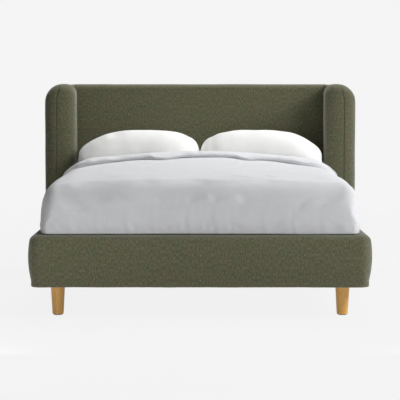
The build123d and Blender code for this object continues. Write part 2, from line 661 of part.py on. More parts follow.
def make_slats(parts):
    """Slats, the two tapes that space them and the screws in the end slats."""
    half = inner_x - SLAT_END_GAP
    slats = []
    for y in slat_places():
        slats.append(
            block((-half, half), (y - SLAT_WIDTH / 2, y + SLAT_WIDTH / 2), (slat_bottom, slat_top))
        )
    screws = []
    head_bottom = slat_top - SCREW_HEAD_HEIGHT
    for index, (x, y) in zip((0, -1), slat_screw_places()):
        for side in (-1, 1):
            hole = upright(SCREW_RADIUS + BOLT_CLEARANCE, side * x, y, screw_span())
            recess = upright(SCREW_HEAD_RADIUS + BOLT_CLEARANCE, side * x, y, (head_bottom, slat_top + OVERRUN))
            slats[index] = slats[index] - hole - recess
            screw = upright(SCREW_RADIUS, side * x, y, (slat_top - SCREW_LENGTH, slat_top))
            screws.append(screw + upright(SCREW_HEAD_RADIUS, side * x, y, (head_bottom, slat_top)))
    places = slat_places()
    tape_y = (places[0] - SLAT_WIDTH / 2, places[-1] + SLAT_WIDTH / 2)
    tape_z = (slat_bottom - TAPE_THICKNESS, slat_bottom)
    tapes = []
    for side in (-1, 1):
        middle = side * (inner_x - LEDGE_WIDTH - TAPE_INSET)
        tapes.append(block((middle - TAPE_WIDTH / 2, middle + TAPE_WIDTH / 2), tape_y, tape_z))
    parts["slats"] = Compound([solid_of(s) for s in slats])
    parts["slat_tapes"] = Compound([solid_of(t) for t in tapes])
    parts["slat_screws"] = Compound([solid_of(s) for s in screws])


# Bedding
def mattress_body(grow, bottom):
    """The mattress's rounded block, grown all round by a distance and reaching down to a height."""
    width = MATTRESS_WIDTH + 2 * grow
    length = MATTRESS_LENGTH + 2 * grow
    outline = RectangleRounded(width, length, MATTRESS_CORNER_RADIUS + grow)
    middle_y = (mattress_front_y + mattress_back_y) / 2
    body = Pos(0, middle_y, bottom) * extrude(outline, amount=mattress_top + grow - bottom, dir=(0, 0, 1))
    return fillet(body.faces().sort_by(Axis.Z)[-1].edges(), MATTRESS_EDGE_RADIUS + grow)


def arch_face(side_x, hem_z, crest_z, crest_fall, shoulder_radius):
    """A section across the duvet: hem, leaning side, round shoulder and a long low crest."""
    hem = (side_x - DUVET_HEM_TUCK, hem_z)
    corner = (side_x - DUVET_LEAN, crest_z - crest_fall)
    flank = (side_x, hem_z + (corner[1] - hem_z) * DUVET_FLANK_SHARE)
    other_corner = (-corner[0], corner[1])
    other_hem = (-hem[0], hem[1])
    edges = [
        ThreePointArc(hem, flank, corner),
        ThreePointArc(corner, (0, crest_z), other_corner),
        ThreePointArc(other_corner, (-flank[0], flank[1]), other_hem),
        Line(other_hem, hem),
    ]
    face = make_face(Wire(edges))
    face = round_corner(face, corner, shoulder_radius)
    return round_corner(face, other_corner, shoulder_radius)


def duvet_ends():
    """Where the duvet begins at the foot and ends at its fold."""
    return mattress_front_y - sheet_gap - DUVET_FOOT, head_face_y - DUVET_REACH_FROM_HEAD


def station_value(place_share, column):
    """A share read off between the duvet's stations."""
    for low, high in zip(DUVET_STATION_SHARES, DUVET_STATION_SHARES[1:]):
        if place_share <= high[0]:
            part = (place_share - low[0]) / (high[0] - low[0])
            return low[column] + part * (high[column] - low[column])
    return DUVET_STATION_SHARES[-1][column]


def duvet_section(y, drop, draw, flap_share):
    """The duvet's section at a place along the bed, lowered and drawn in at its ends."""
    start, end = duvet_ends()
    place_share = (y - start) / (end - start)
    top, side, fall, shoulder = (station_value(place_share, column) for column in (1, 2, 3, 4))
    side_x = MATTRESS_WIDTH / 2 + sheet_gap + DUVET_SIDE * side - draw + FLAP_OVERHANG * flap_share
    crest_z = mattress_top + DUVET_TOP * top - drop + FLAP_RISE * flap_share
    hem_z = rail_top + DUVET_HEM_GAP
    face = arch_face(side_x, hem_z, crest_z, DUVET_CREST_FALL * fall, DUVET_SHOULDER_RADIUS * shoulder)
    return across_plane(y) * face


def round_steps(length, drop, draw):
    """Steps of a rounded end: distance from the end, drop and draw-in."""
    angles = [math.radians(degrees) for degrees in ROUND_STEP_DEGREES]
    return [(length * (1 - math.cos(a)), drop * (1 - math.sin(a)), draw * (1 - math.sin(a))) for a in angles]


def make_duvet(parts):
    """The duvet over the mattress, with its head end folded back as a thick flap."""
    start, end = duvet_ends()
    sections = []
    for run, drop, draw in round_steps(DUVET_FOOT_LENGTH, DUVET_FOOT_DROP, DUVET_FOOT_DRAW):
        sections.append(duvet_section(start + run, drop, draw, 0))
    for share, *_ in DUVET_STATION_SHARES[1:-2]:
        sections.append(duvet_section(start + share * (end - start), 0, 0, 0))
    for edge_share, rise_share in FLAP_EDGE_SHARES:
        sections.append(duvet_section(end - FLAP_LENGTH + FLAP_EDGE * edge_share, 0, 0, rise_share))
    for run, drop, draw in reversed(round_steps(DUVET_FOLD_LENGTH, DUVET_FOLD_DROP, DUVET_FOLD_DRAW)):
        sections.append(duvet_section(end - run, drop, draw, 1))
    room = mattress_body(sheet_gap + SOFT_GAP, slat_top)
    parts["duvet"] = solid_of(loft(sections, ruled=True) - room)


def pillow_body():
    """One pillow about its own middle: a crowned lens, flatter below, that thins towards both ends."""
    sections = []
    for place, depth_share, thick_share, droop_share in PILLOW_STATION_SHARES:
        half_depth = PILLOW_DEPTH * depth_share / 2
        droop = -PILLOW_DROOP * droop_share
        front, back = (-half_depth, droop), (half_depth, droop)
        crown = (0, droop + PILLOW_CROWN * thick_share)
        belly = (0, droop - PILLOW_BELLY * thick_share)
        lens = make_face(Wire([ThreePointArc(front, crown, back), ThreePointArc(back, belly, front)]))
        sections.append(Plane(origin=(pillow_width * place, 0, 0), x_dir=(0, 1, 0), z_dir=(1, 0, 0)) * lens)
    return loft(sections)


def make_bedding(parts):
    """Mattress, fitted sheet, duvet and two pillows leaning on the headboard."""
    core = mattress_body(0, slat_top)
    core = fillet(core.faces().sort_by(Axis.Z)[0].edges(), MATTRESS_EDGE_RADIUS)
    parts["mattress_core"] = core
    sheet_bottom = slat_top + SHEET_HEM_RISE
    sheet = mattress_body(sheet_gap, sheet_bottom) - mattress_body(SOFT_GAP, sheet_bottom - OVERRUN)
    parts["fitted_sheet"] = sheet
    make_duvet(parts)
    pillow = Rot(PILLOW_TILT_DEGREES, 0, 0) * pillow_body()
    reach = pillow.bounding_box()
    rest_z = mattress_top + sheet_gap + SOFT_GAP - reach.min.Z
    rest_y = head_face_y - SOFT_GAP - reach.max.Y
    pillow_x = (PILLOW_MIDDLE_GAP + pillow_width) / 2
    pillow_right = Pos(pillow_x, rest_y, rest_z) * pillow
    parts["pillow_right"] = pillow_right
    parts["pillow_left"] = mirrored(pillow_right)


def main():
    """Builds every piece and writes one file for each."""
    parts = {}
    post_cavity = make_rails(parts)
    make_headboard(parts)
    make_wings(parts, post_cavity)
    make_legs(parts)
    make_centre_support(parts)
    make_slats(parts)
    make_bedding(parts)
    os.makedirs("parts", exist_ok=True)
    for name, shape in parts.items():
        export_step(shape, f"parts/{name}.step")
    print(len(parts), "pieces")


main()
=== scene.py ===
import math

import bmesh
import bpy
import numpy as np
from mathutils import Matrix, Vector, kdtree, noise


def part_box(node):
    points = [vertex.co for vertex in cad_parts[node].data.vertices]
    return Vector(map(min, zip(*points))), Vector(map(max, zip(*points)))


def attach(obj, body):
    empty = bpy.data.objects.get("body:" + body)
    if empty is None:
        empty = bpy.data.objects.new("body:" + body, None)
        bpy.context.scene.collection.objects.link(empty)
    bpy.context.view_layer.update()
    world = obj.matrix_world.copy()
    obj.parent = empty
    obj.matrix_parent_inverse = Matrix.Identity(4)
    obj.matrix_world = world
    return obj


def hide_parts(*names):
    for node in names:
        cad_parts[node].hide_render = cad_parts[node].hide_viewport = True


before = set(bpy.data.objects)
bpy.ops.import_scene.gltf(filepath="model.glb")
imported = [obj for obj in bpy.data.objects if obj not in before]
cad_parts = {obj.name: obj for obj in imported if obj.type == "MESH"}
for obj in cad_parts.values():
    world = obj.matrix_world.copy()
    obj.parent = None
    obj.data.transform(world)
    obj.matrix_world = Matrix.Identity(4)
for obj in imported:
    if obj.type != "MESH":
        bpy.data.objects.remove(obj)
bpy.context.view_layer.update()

# The upholstered wingback bed, dressed. Metres, +Z up, -Y the foot of the bed.

MM = 0.001
CORNER_STEPS = 8
HALF_CORNER = CORNER_STEPS // 2
WELD = 0.02 * MM
SHARP_ANGLE = math.radians(50)
LEFT, RIGHT = "left", "right"


def span(*nodes):
    """Lowest and highest corner of several CAD nodes together."""
    boxes = [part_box(node) for node in nodes]
    low = [min(box[0][i] for box in boxes) for i in range(3)]
    high = [max(box[1][i] for box in boxes) for i in range(3)]
    return low, high


# Places read from the frame
wing_low, wing_high = span("wing_inner_cover_right", "wing_outer_cover_right")
inner_x, wing_outer_x = wing_low[0], wing_high[0]
wing_front_y, back_y = wing_low[1], wing_high[1]
floor_gap, top_z = wing_low[2], wing_high[2]
head_low, head_high = span("headboard_cover")
head_face_y, head_half = head_low[1], head_high[0]
_, rail_high = span("side_rail_cover_right")
rail_outer_x, rail_top = rail_high[0], rail_high[2]
foot_low, foot_high = span("foot_rail_cover")
front_y, foot_inner_y = foot_low[1], foot_high[1]
core_low, core_high = span("mattress_core")
mattress_top = core_high[2]
sheet_low, sheet_high = span("fitted_sheet")
duvet_low, duvet_high = span("duvet")
rail_height = rail_top - floor_gap
rail_thickness = rail_outer_x - inner_x


# Numbers in shape work
def ease(value, start, width):
    """Smooth rise from 0 at a start to 1 a width further on."""
    value = np.clip((value - start) / width, 0.0, 1.0)
    return value * value * (3 - 2 * value)


def bell(away, width=1.0):
    """A soft hump, 1 in its middle."""
    return np.exp(-((away / width) ** 2))


def angles(start, end, steps):
    """Angles in radians between two in degrees, both ends included."""
    return np.radians(np.linspace(start, end, steps + 1))


def smooth_row(places, table, column):
    """A table's column at places along its first one, without kinks."""
    x, y = table[:, 0], table[:, column]
    slope = np.gradient(y, x)
    i = np.clip(np.searchsorted(x, places, side="right") - 1, 0, len(x) - 2)
    step = x[i + 1] - x[i]
    t = np.clip((places - x[i]) / step, 0.0, 1.0)
    rise = (1 + 2 * t) * (1 - t) ** 2 * y[i] + t * t * (3 - 2 * t) * y[i + 1]
    return rise + step * (t * (1 - t) ** 2 * slope[i] - t * t * (1 - t) * slope[i + 1])


def joined(*parts):
    """Coordinates side by side as a last axis, single numbers spread over the others' shape."""
    return np.stack(np.broadcast_arrays(*parts), -1)


def arc(centre, radius, start, end, steps):
    """Points on an arc, angles in degrees, both ends included."""
    turn = angles(start, end, steps)
    return joined(centre[0] + radius * np.cos(turn), centre[1] + radius * np.sin(turn))


def run(start, end, steps):
    """Points on a straight run, both ends included."""
    share = np.linspace(0, 1, steps + 1)[:, None]
    return np.array(start) * (1 - share) + np.array(end) * share


def rounded_loop(low, high, radii, steps):
    """A rounded rectangle's points, from the middle of its low corner first along the second axis.

    The radii go round the same way. The steps are those of the straight runs along each axis.
    """
    r = [max(radius, 1e-5) for radius in radii]
    along_u, along_v = steps
    corners = [
        arc((low[0] + r[0], low[1] + r[0]), r[0], 270, 180, CORNER_STEPS),
        arc((low[0] + r[1], high[1] - r[1]), r[1], 180, 90, CORNER_STEPS),
        arc((high[0] - r[2], high[1] - r[2]), r[2], 90, 0, CORNER_STEPS),
        arc((high[0] - r[3], low[1] + r[3]), r[3], 0, -90, CORNER_STEPS),
    ]
    points = [corners[0][HALF_CORNER:-1]]
    for i, count in enumerate((along_v, along_u, along_v, along_u)):
        nxt = corners[(i + 1) % 4]
        points += [run(corners[i][-1], nxt[0], count), nxt[1:-1] if i < 3 else nxt[1 : HALF_CORNER + 1]]
    return np.concatenate(points)


def coons(first, second, third, fourth):
    """Fills four border lines; the first and third run the same way, the others join their ends."""
    u = np.linspace(0, 1, len(first))[None, :, None]
    v = np.linspace(0, 1, len(second))[:, None, None]
    ruled_v = first[None] * (1 - v) + third[None] * v
    ruled_u = fourth[:, None] * (1 - u) + second[:, None] * u
    corners = first[0] * (1 - u) * (1 - v) + first[-1] * u * (1 - v) + third[0] * (1 - u) * v
    return ruled_v + ruled_u - (corners + third[-1] * u * v)


def cap_of(loop, steps):
    """A grid of points over a rounded loop's opening."""
    side_u, side_v = steps[0] + CORNER_STEPS, steps[1] + CORNER_STEPS
    a = loop[0 : side_v + 1]
    b = loop[side_v : side_v + side_u + 1]
    c = loop[side_v + side_u : 2 * side_v + side_u + 1]
    d = loop[2 * side_v + side_u :]
    return coons(a, b, c[::-1], d[::-1])


def in_scene(name, data):
    """A new object of mesh, lamp or camera data."""
    thing = bpy.data.objects.new(name, data)
    bpy.context.scene.collection.objects.link(thing)
    return thing


class Shell:
    """Welds grids of points into one smooth mesh with cloth coordinates in metres."""

    def __init__(self):
        self.points, self.faces, self.coordinates = [], [], []
        self.count = 0

    def add(self, points, coordinates, faces):
        """Adds points, their cloth coordinates and the faces between them."""
        self.points.append(points)
        self.coordinates.append(coordinates)
        self.faces += [[self.count + int(i) for i in face] for face in faces]
        self.count += len(points)

    def grid(self, points, coordinates, flip=False):
        """Adds rows and columns of points, with their cloth coordinates."""
        index = np.arange(points.shape[0] * points.shape[1]).reshape(points.shape[:2])
        a, b, c, d = index[:-1, :-1], index[:-1, 1:], index[1:, 1:], index[1:, :-1]
        quads = np.stack([a, d, c, b] if flip else [a, b, c, d], -1).reshape(-1, 4)
        self.add(points.reshape(-1, 3), coordinates.reshape(-1, 2), quads)

    def polygon(self, points):
        """Adds one flat face."""
        self.add(points, points[:, [0, 2]], [range(len(points))])

    def rim(self, first, second, axes=(0, 1)):
        """Joins two lines of points."""
        strip = np.stack([first, second])
        self.grid(strip, strip[..., axes])

    def build(self, name):
        """The welded object, smooth but for its sharp edges."""
        points = np.concatenate(self.points)
        coordinates = np.concatenate(self.coordinates)
        mesh = bpy.data.meshes.new(name)
        mesh.from_pydata(points.tolist(), [], self.faces)
        layer = mesh.uv_layers.new(name="cloth")
        corner_points = np.zeros(len(mesh.loops), np.int32)
        mesh.loops.foreach_get("vertex_index", corner_points)
        layer.data.foreach_set("uv", coordinates[corner_points].astype(np.float32).ravel())
        work = bmesh.new()
        work.from_mesh(mesh)
        bmesh.ops.remove_doubles(work, verts=work.verts, dist=WELD)
        bmesh.ops.dissolve_degenerate(work, edges=work.edges, dist=WELD)
        bmesh.ops.recalc_face_normals(work, faces=work.faces)
        work.to_mesh(mesh)
        work.free()
        mesh.polygons.foreach_set("use_smooth", [True] * len(mesh.polygons))
        mesh.set_sharp_from_angle(angle=SHARP_ANGLE)
        return in_scene(name, mesh)


def points_of(mesh):
    """A mesh's points as an array."""
    flat = np.zeros(len(mesh.vertices) * 3, np.float64)
    mesh.vertices.foreach_get("co", flat)
    return flat.reshape(-1, 3)


def normals_of(mesh):
    """A mesh's point normals as an array."""
    flat = np.zeros(len(mesh.vertices) * 3, np.float32)
    mesh.vertex_normals.foreach_get("vector", flat)
    return flat.reshape(-1, 3).astype(np.float64)


def put_points(mesh, points):
    """Writes a mesh's points."""
    mesh.vertices.foreach_set("co", np.asarray(points, np.float32).ravel())
    mesh.update()


def raise_by(piece, heights):
    """Moves a piece's points along their normals."""
    put_points(piece.data, points_of(piece.data) + normals_of(piece.data) * heights[:, None])


def wander(points, size, seed):
    """Smooth noise at each point, about -1 to 1, with features of one size."""
    offset = Vector((seed * 7.31, seed * 3.77, seed * 5.13))
    return np.array([noise.fractal(Vector(p) / size + offset, 1.0, 2.0, 2) for p in points])


def soften(piece, seed, *layers, where=None):
    """Moves a piece's surface by layers of smooth noise, each of an amount and a size."""
    for i, (amount, size) in enumerate(layers):
        points = points_of(piece.data)
        share = 1.0 if where is None else where(points)
        raise_by(piece, amount * wander(points, size, seed + i) * share)


def running_length(points):
    """Distance along a line of points from its start."""
    return np.concatenate([[0.0], np.cumsum(np.linalg.norm(np.diff(points, axis=0), axis=1))])


# Cloth under air pressure
AIR_FRAMES = 20


def baked(piece):
    """Works a piece's modifiers into its mesh."""
    graph = bpy.context.evaluated_depsgraph_get()
    mesh = bpy.data.meshes.new_from_object(piece.evaluated_get(graph), depsgraph=graph)
    piece.modifiers.clear()
    piece.data = mesh


def nearest(points, line):
    """Distance of each point to a line of points, and the place along the line."""
    tree = kdtree.KDTree(len(line))
    for i, point in enumerate(line):
        tree.insert(point, i)
    tree.balance()
    found = [tree.find(point)[1:] for point in points]
    along = running_length(line)
    return np.array([row[1] for row in found]), along[[row[0] for row in found]]


def evened(mesh, values, times):
    """Values at a mesh's points, drawn towards their neighbours' mean again and again."""
    ends = np.zeros(len(mesh.edges) * 2, np.int32)
    mesh.edges.foreach_get("vertices", ends)
    first, second = ends[0::2], ends[1::2]
    count = np.bincount(ends, minlength=len(values))
    for _ in range(times):
        near = [
            sum(np.bincount(a, values[b, i], len(values)) for a, b in ((first, second), (second, first)))
            for i in range(3)
        ]
        values = (values + np.stack(near, 1) / count[:, None]) / 2
    return values


def blown_up(piece, limit, pressure, spare, voxel=None, even=0, pinned=None, after=None):
    """Settles a cover with spare cloth under air pressure, then makes its mesh finer.

    No point moves further than the limit, and none where pinned gives 1. Moves are evened out the
    given number of times, and after gives heights that are added to the finer mesh.
    """
    if voxel:
        remesh = piece.modifiers.new("remesh", "REMESH")
        remesh.mode = "VOXEL"
        remesh.voxel_size = voxel
        baked(piece)
    start = points_of(piece.data)
    weight = pinned(start) if pinned else np.zeros(len(start))
    group = piece.vertex_groups.new(name="pinned")
    for i in np.nonzero(weight > 0.01)[0]:
        group.add([int(i)], float(weight[i]), "REPLACE")
    cloth = piece.modifiers.new("air", "CLOTH").settings
    cloth.quality = 4
    cloth.mass = 0.3
    cloth.tension_stiffness = cloth.compression_stiffness = 15.0
    cloth.shear_stiffness = 5.0
    cloth.bending_stiffness = 0.1
    cloth.use_pressure = True
    cloth.uniform_pressure_force = pressure
    cloth.shrink_min = -spare
    cloth.effector_weights.gravity = 0.0
    cloth.vertex_group_mass = "pinned"
    for step in range(1, AIR_FRAMES + 1):
        bpy.context.scene.frame_set(step)
    baked(piece)
    bpy.context.scene.frame_set(1)
    move = evened(piece.data, points_of(piece.data) - start, even)
    length = np.maximum(np.linalg.norm(move, axis=1), 1e-9)
    move *= (limit * np.tanh(length / limit) / length * (1 - weight))[:, None]
    put_points(piece.data, start + move)
    piece.vertex_groups.clear()
    kept = piece.data.attributes.new("start", "FLOAT_VECTOR", "POINT")
    kept.data.foreach_set("vector", start.ravel())
    finer = piece.modifiers.new("finer", "SUBSURF")
    finer.levels = finer.render_levels = 1
    baked(piece)
    if after:
        flat = np.zeros(len(piece.data.vertices) * 3)
        piece.data.attributes["start"].data.foreach_get("vector", flat)
        raise_by(piece, after(flat.reshape(-1, 3)))
    piece.data.attributes.remove(piece.data.attributes["start"])
    piece.data.polygons.foreach_set("use_smooth", [True] * len(piece.data.polygons))


def dress(piece, finish, body, slot, *nodes, fill=None):
    """Gives a piece its material and body and hides the CAD nodes it replaces; the slot and the fill are
    not used.
    """
    piece.data.materials.append(finish)
    if nodes:
        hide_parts(*nodes)
    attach(piece, body)


def upholster(piece, *nodes):
    """Makes a piece a padded part of the tweed bed frame."""
    dress(piece, tweed, "bed_frame", "olive_tweed", *nodes, fill=0.8)


# Upholstery of the wings
WING_BULLNOSE = 66 * MM
WING_SWELL = 7 * MM
WING_NOSE_POWER = 2.6
WING_PEAK = 0.885
WING_OUTER_RADIUS = 112 * MM
WING_INNER_RADIUS = 64 * MM
WING_TOP_FRONT = 50 * MM
WING_TOP_BACK = 12 * MM
WING_BOTTOM = 7 * MM
WING_SIDE_CROWN = 4 * MM
WING_INNER_LEAN = 5 * MM
WING_TOP_FADE = (-0.2, 0.2)
WING_SIDE_REACH = 30 * MM
WING_STEPS = (22, 88)
SEAM_PLACE = 0.886
SEAM_LEAN = 20 * MM
SEAM_LEAN_HEIGHT = 110 * MM
SEAM_LIP = (
    (9 * MM, 0.0), (5 * MM, 0.2 * MM), (2.6 * MM, 0.6 * MM),
    (1.2 * MM, 1.4 * MM), (0.5 * MM, 2.8 * MM), (0.05 * MM, 6 * MM),
)
SEAM_BACK_DEPTH = 0.7 * MM
WING_BACK_CALM = (12 * MM, 30 * MM)
NOTCH_DEPTH = 1.5 * MM
NOTCH_WIDTH = 20 * MM
NOTCH_RADIUS = 2 * MM
NOTCH_BACK = (-12 * MM, 24 * MM)
NOTCH_UP = (-60 * MM, 55 * MM)
NOTCH_GAP = 2 * MM
SEAM_STITCH = 34 * MM
SEAM_DIMPLE = 2.2 * MM
SEAM_PUCKER = 0.9 * MM
SEAM_WIDTH = 8 * MM
SEAM_UPPER = (-0.35, 0.2)
WING_NOISE = ((1.1 * MM, 0.16), (0.5 * MM, 0.05))
wing_middle_x = (inner_x + wing_outer_x) / 2
wing_half = (wing_outer_x - inner_x) / 2


def wing_top(x):
    """Height of the wing's top at a place across it."""
    inner = np.clip(inner_x + WING_INNER_RADIUS - x, 0, WING_INNER_RADIUS)
    outer = np.clip(x - wing_outer_x + WING_OUTER_RADIUS, 0, WING_OUTER_RADIUS)
    drop = WING_INNER_RADIUS - np.sqrt(WING_INNER_RADIUS**2 - inner**2)
    drop = drop + WING_OUTER_RADIUS - np.sqrt(WING_OUTER_RADIUS**2 - outer**2)
    return top_z - drop


def wing_front(x):
    """Place of the wing's rounded front at a place across it."""
    reach = np.where(x < WING_PEAK, WING_PEAK - inner_x, wing_outer_x - WING_PEAK)
    share = np.clip(np.abs(x - WING_PEAK) / reach, 0, 1) ** WING_NOSE_POWER
    return wing_front_y - WING_SWELL + WING_BULLNOSE * (1 - (1 - share) ** (1 / WING_NOSE_POWER))


def seam_shift(x, z):
    """How far the surface's columns near the seam lean inwards over the wing's top."""
    lean = SEAM_LEAN * ease(z - top_z, -SEAM_LEAN_HEIGHT, SEAM_LEAN_HEIGHT)
    return -lean * np.clip(1 - np.abs(x - SEAM_PLACE) / (wing_outer_x - SEAM_PLACE), 0, 1)


def wing_loop(x, inset, deep):
    """One closed slice of the wing, from its front up, over the top and down its back."""
    back = back_y if deep else head_face_y + NOTCH_DEPTH
    low = (wing_front(x) + inset, floor_gap + inset)
    high = (back - min(inset, SEAM_BACK_DEPTH), wing_top(x) - inset)
    to_side = wing_half - abs(x - wing_middle_x)
    top_front = WING_TOP_FRONT * (0.55 + 0.45 * min(1.0, to_side / WING_SIDE_REACH))
    radii = [WING_BOTTOM, top_front, WING_TOP_BACK if deep else NOTCH_RADIUS, WING_BOTTOM]
    loop = rounded_loop(low, high, [max(r - inset, 0.5 * MM) for r in radii], WING_STEPS)
    y, z = loop[:, 0], loop[:, 1]
    moved = x + seam_shift(x, z)
    front = y < wing_front_y + WING_BULLNOSE + WING_TOP_FRONT
    y = y + front * (wing_front(moved) - wing_front(x))
    z = z + ease(z - top_z, *WING_TOP_FADE) * (wing_top(moved) - wing_top(x))
    if deep and x < inner_x + WING_INNER_RADIUS:
        rise = (top_z - NOTCH_GAP - wing_top(x)) * ease(y - head_face_y, *NOTCH_BACK)
        z = z + rise * ease(z - wing_top(x), *NOTCH_UP)
    if not deep:
        moved = moved + WING_INNER_LEAN * ease(y - wing_front_y, WING_BULLNOSE, 0.15)
    return joined(moved, y, z)


def wing_columns():
    """Places across the wing, with the notch beside the headboard, inner and outer panel apart."""
    inner = inner_x + WING_INNER_RADIUS * (1 - np.cos(angles(0, 90, 12)))
    outer = wing_outer_x - WING_OUTER_RADIUS * (1 - np.cos(angles(90, 0, 18)))
    notch = inner_x + NOTCH_WIDTH
    edge = SEAM_LIP[0][0]
    first = [(x, 0.0, x > notch) for x in inner if abs(x - notch) > 1.5 * MM]
    first += [(notch, 0.0, False), (notch, 0.0, True)]
    first += [(x, 0.0, True) for x in outer if x < SEAM_PLACE - edge]
    first.sort(key=lambda row: (row[0], row[2]))
    second = [(x, 0.0, True) for x in outer if x > SEAM_PLACE + edge]
    lip_in = [(SEAM_PLACE - away, depth, True) for away, depth in SEAM_LIP]
    lip_out = [(SEAM_PLACE + away, depth, True) for away, depth in reversed(SEAM_LIP)]
    return first + lip_in, lip_out + second


def tube(loops, steps, crown=0.0):
    """A closed shell through slices that stand side by side, its last end crowned."""
    shell = Shell()
    loops = np.array(loops)
    across = running_length(loops[:, loops.shape[1] // 4])
    around = np.array([running_length(loop) for loop in loops])
    shell.grid(loops, joined(across[:, None], around))
    for loop, rise, flip, start in ((loops[0], 0.0, False, -1.0), (loops[-1], crown, True, across[-1])):
        cap = cap_of(loop, steps)
        v, u = (np.linspace(0, 1, count) for count in cap.shape[:2])
        cap[..., 0] += (4 * u * (1 - u)) ** 0.5 * (4 * v * (1 - v))[:, None] ** 0.5 * rise
        shell.grid(cap, cap[..., [1, 2]] + np.array([start, 0.0]), flip)
    return shell


def closed_sweep(name, loops, along=None, around=None):
    """A closed mesh through loops of points, with flat ends; lengths on its cloth may be given."""
    loops = np.array(loops)
    closed = np.concatenate([loops, loops[:, :1]], axis=1)
    if along is None:
        along = running_length(closed[:, closed.shape[1] // 2])
        around = running_length(closed[len(closed) // 2])
    shell = Shell()
    shell.grid(closed, joined(along[:, None], around))
    shell.polygon(loops[0])
    shell.polygon(loops[-1][::-1])
    return shell.build(name)


def mirror_points(piece):
    """Turns a right-hand piece into a left-hand one."""
    points = points_of(piece.data)
    points[:, 0] *= -1
    put_points(piece.data, points)
    piece.data.flip_normals()


def before_the_back(points):
    """1 on a wing but 0 on its back, where the cloth lies flat on the post."""
    return ease(back_y - points[:, 1], *WING_BACK_CALM)


def pucker_along_seam(piece, seed):
    """Small gathers in the cloth beside the wing's seam."""
    points = points_of(piece.data)
    x, y, z = np.abs(points[:, 0]), points[:, 1], points[:, 2]
    away = x - SEAM_PLACE - seam_shift(x, z)
    phase = wander(points[:, [2, 1, 1]] * np.array([1, 0.3, 0]), 22 * MM, seed)
    along = z - 0.8 * np.clip(y - wing_front_y - WING_BULLNOSE, 0, None)
    stitch = np.clip(np.cos(2 * np.pi * along / SEAM_STITCH + 0.8 * phase), 0, 1) ** 2
    upper = 0.35 + 0.65 * ease(z - top_z, *SEAM_UPPER)
    dimple = SEAM_DIMPLE * stitch * upper * bell(away, SEAM_WIDTH)
    pucker = SEAM_PUCKER * bell(away, 2 * SEAM_WIDTH) * phase
    raise_by(piece, (pucker - dimple) * before_the_back(points))


def make_wing(side):
    """Both panels of one wing's cover over its padding."""
    inner_columns, outer_columns = wing_columns()
    seed = 3 if side == LEFT else 11
    for part, columns, crown, nodes in (
        ("inner", inner_columns, 0.0, (f"wing_inner_cover_{side}", f"wing_foam_{side}")),
        ("outer", outer_columns, WING_SIDE_CROWN, (f"wing_outer_cover_{side}",)),
    ):
        loops = [wing_loop(*column) for column in columns]
        piece = tube(loops, WING_STEPS, crown).build(f"wing_{part}_panel_{side}")
        soften(piece, seed, *WING_NOISE, where=before_the_back)
        pucker_along_seam(piece, seed)
        if side == LEFT:
            mirror_points(piece)
        upholster(piece, *nodes)


# Headboard between the wings
HEAD_TOP_RADIUS = 32 * MM
HEAD_BACK_RADIUS = 9 * MM
HEAD_CROWN = 7 * MM
HEAD_CLOTH_SETBACK = 3.2 * MM
HEAD_TURNED_EDGE = 30 * MM
HEAD_RECESS = 2 * MM
HEAD_FOOT = 6 * MM
HEAD_NOISE = ((1.4 * MM, 0.22), (0.5 * MM, 0.07))
CLOTH_SETBACK = 1.2 * MM
CLOTH_THICKNESS = 0.9 * MM
SCALLOP = 0.8 * MM
SCALLOP_PITCH = 75 * MM
SCALLOP_REACH = 30 * MM


def make_headboard():
    """The padded face, carried over the top and down to the back's turned edge."""
    pad_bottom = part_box("slats")[0].z + HEAD_FOOT
    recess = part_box("headboard_face_panel")[0].y - HEAD_RECESS
    round_top, round_back = top_z - HEAD_TOP_RADIUS, top_z - HEAD_BACK_RADIUS
    edge = round_back - HEAD_TURNED_EDGE
    under_cloth = back_y - HEAD_CLOTH_SETBACK
    profile = np.concatenate(
        [
            run((recess, floor_gap), (recess, pad_bottom), 4),
            run((head_face_y, pad_bottom), (head_face_y, round_top), 60),
            arc((head_face_y + HEAD_TOP_RADIUS, round_top), HEAD_TOP_RADIUS, 180, 90, 12)[1:],
            arc((back_y - HEAD_BACK_RADIUS, round_back), HEAD_BACK_RADIUS, 90, 0, 6),
            [(back_y, edge)],
            run((under_cloth, edge - 2 * MM), (under_cloth, floor_gap), 30),
        ]
    )
    y, z = profile.T
    face = (y < head_face_y + HEAD_TOP_RADIUS * 0.9) & (z > mattress_top)
    up = np.sin(np.pi * np.clip((z - mattress_top) / (top_z - mattress_top), 0, 1)) ** 0.5
    places = np.linspace(-head_half, head_half, 85)
    loops = []
    for x in places:
        crown = HEAD_CROWN * np.clip(1 - (x / inner_x) ** 2, 0, 1) ** 0.4 * up
        loops.append(joined(x, y - crown * face, z))
    around = running_length(profile)
    piece = closed_sweep("headboard_pad", loops, places, np.append(around, around[-1] + 0.05))
    soften(piece, 5, *HEAD_NOISE, where=lambda points: points[:, 1] < back_y - 20 * MM)
    upholster(piece, "headboard_cover", "headboard_foam")


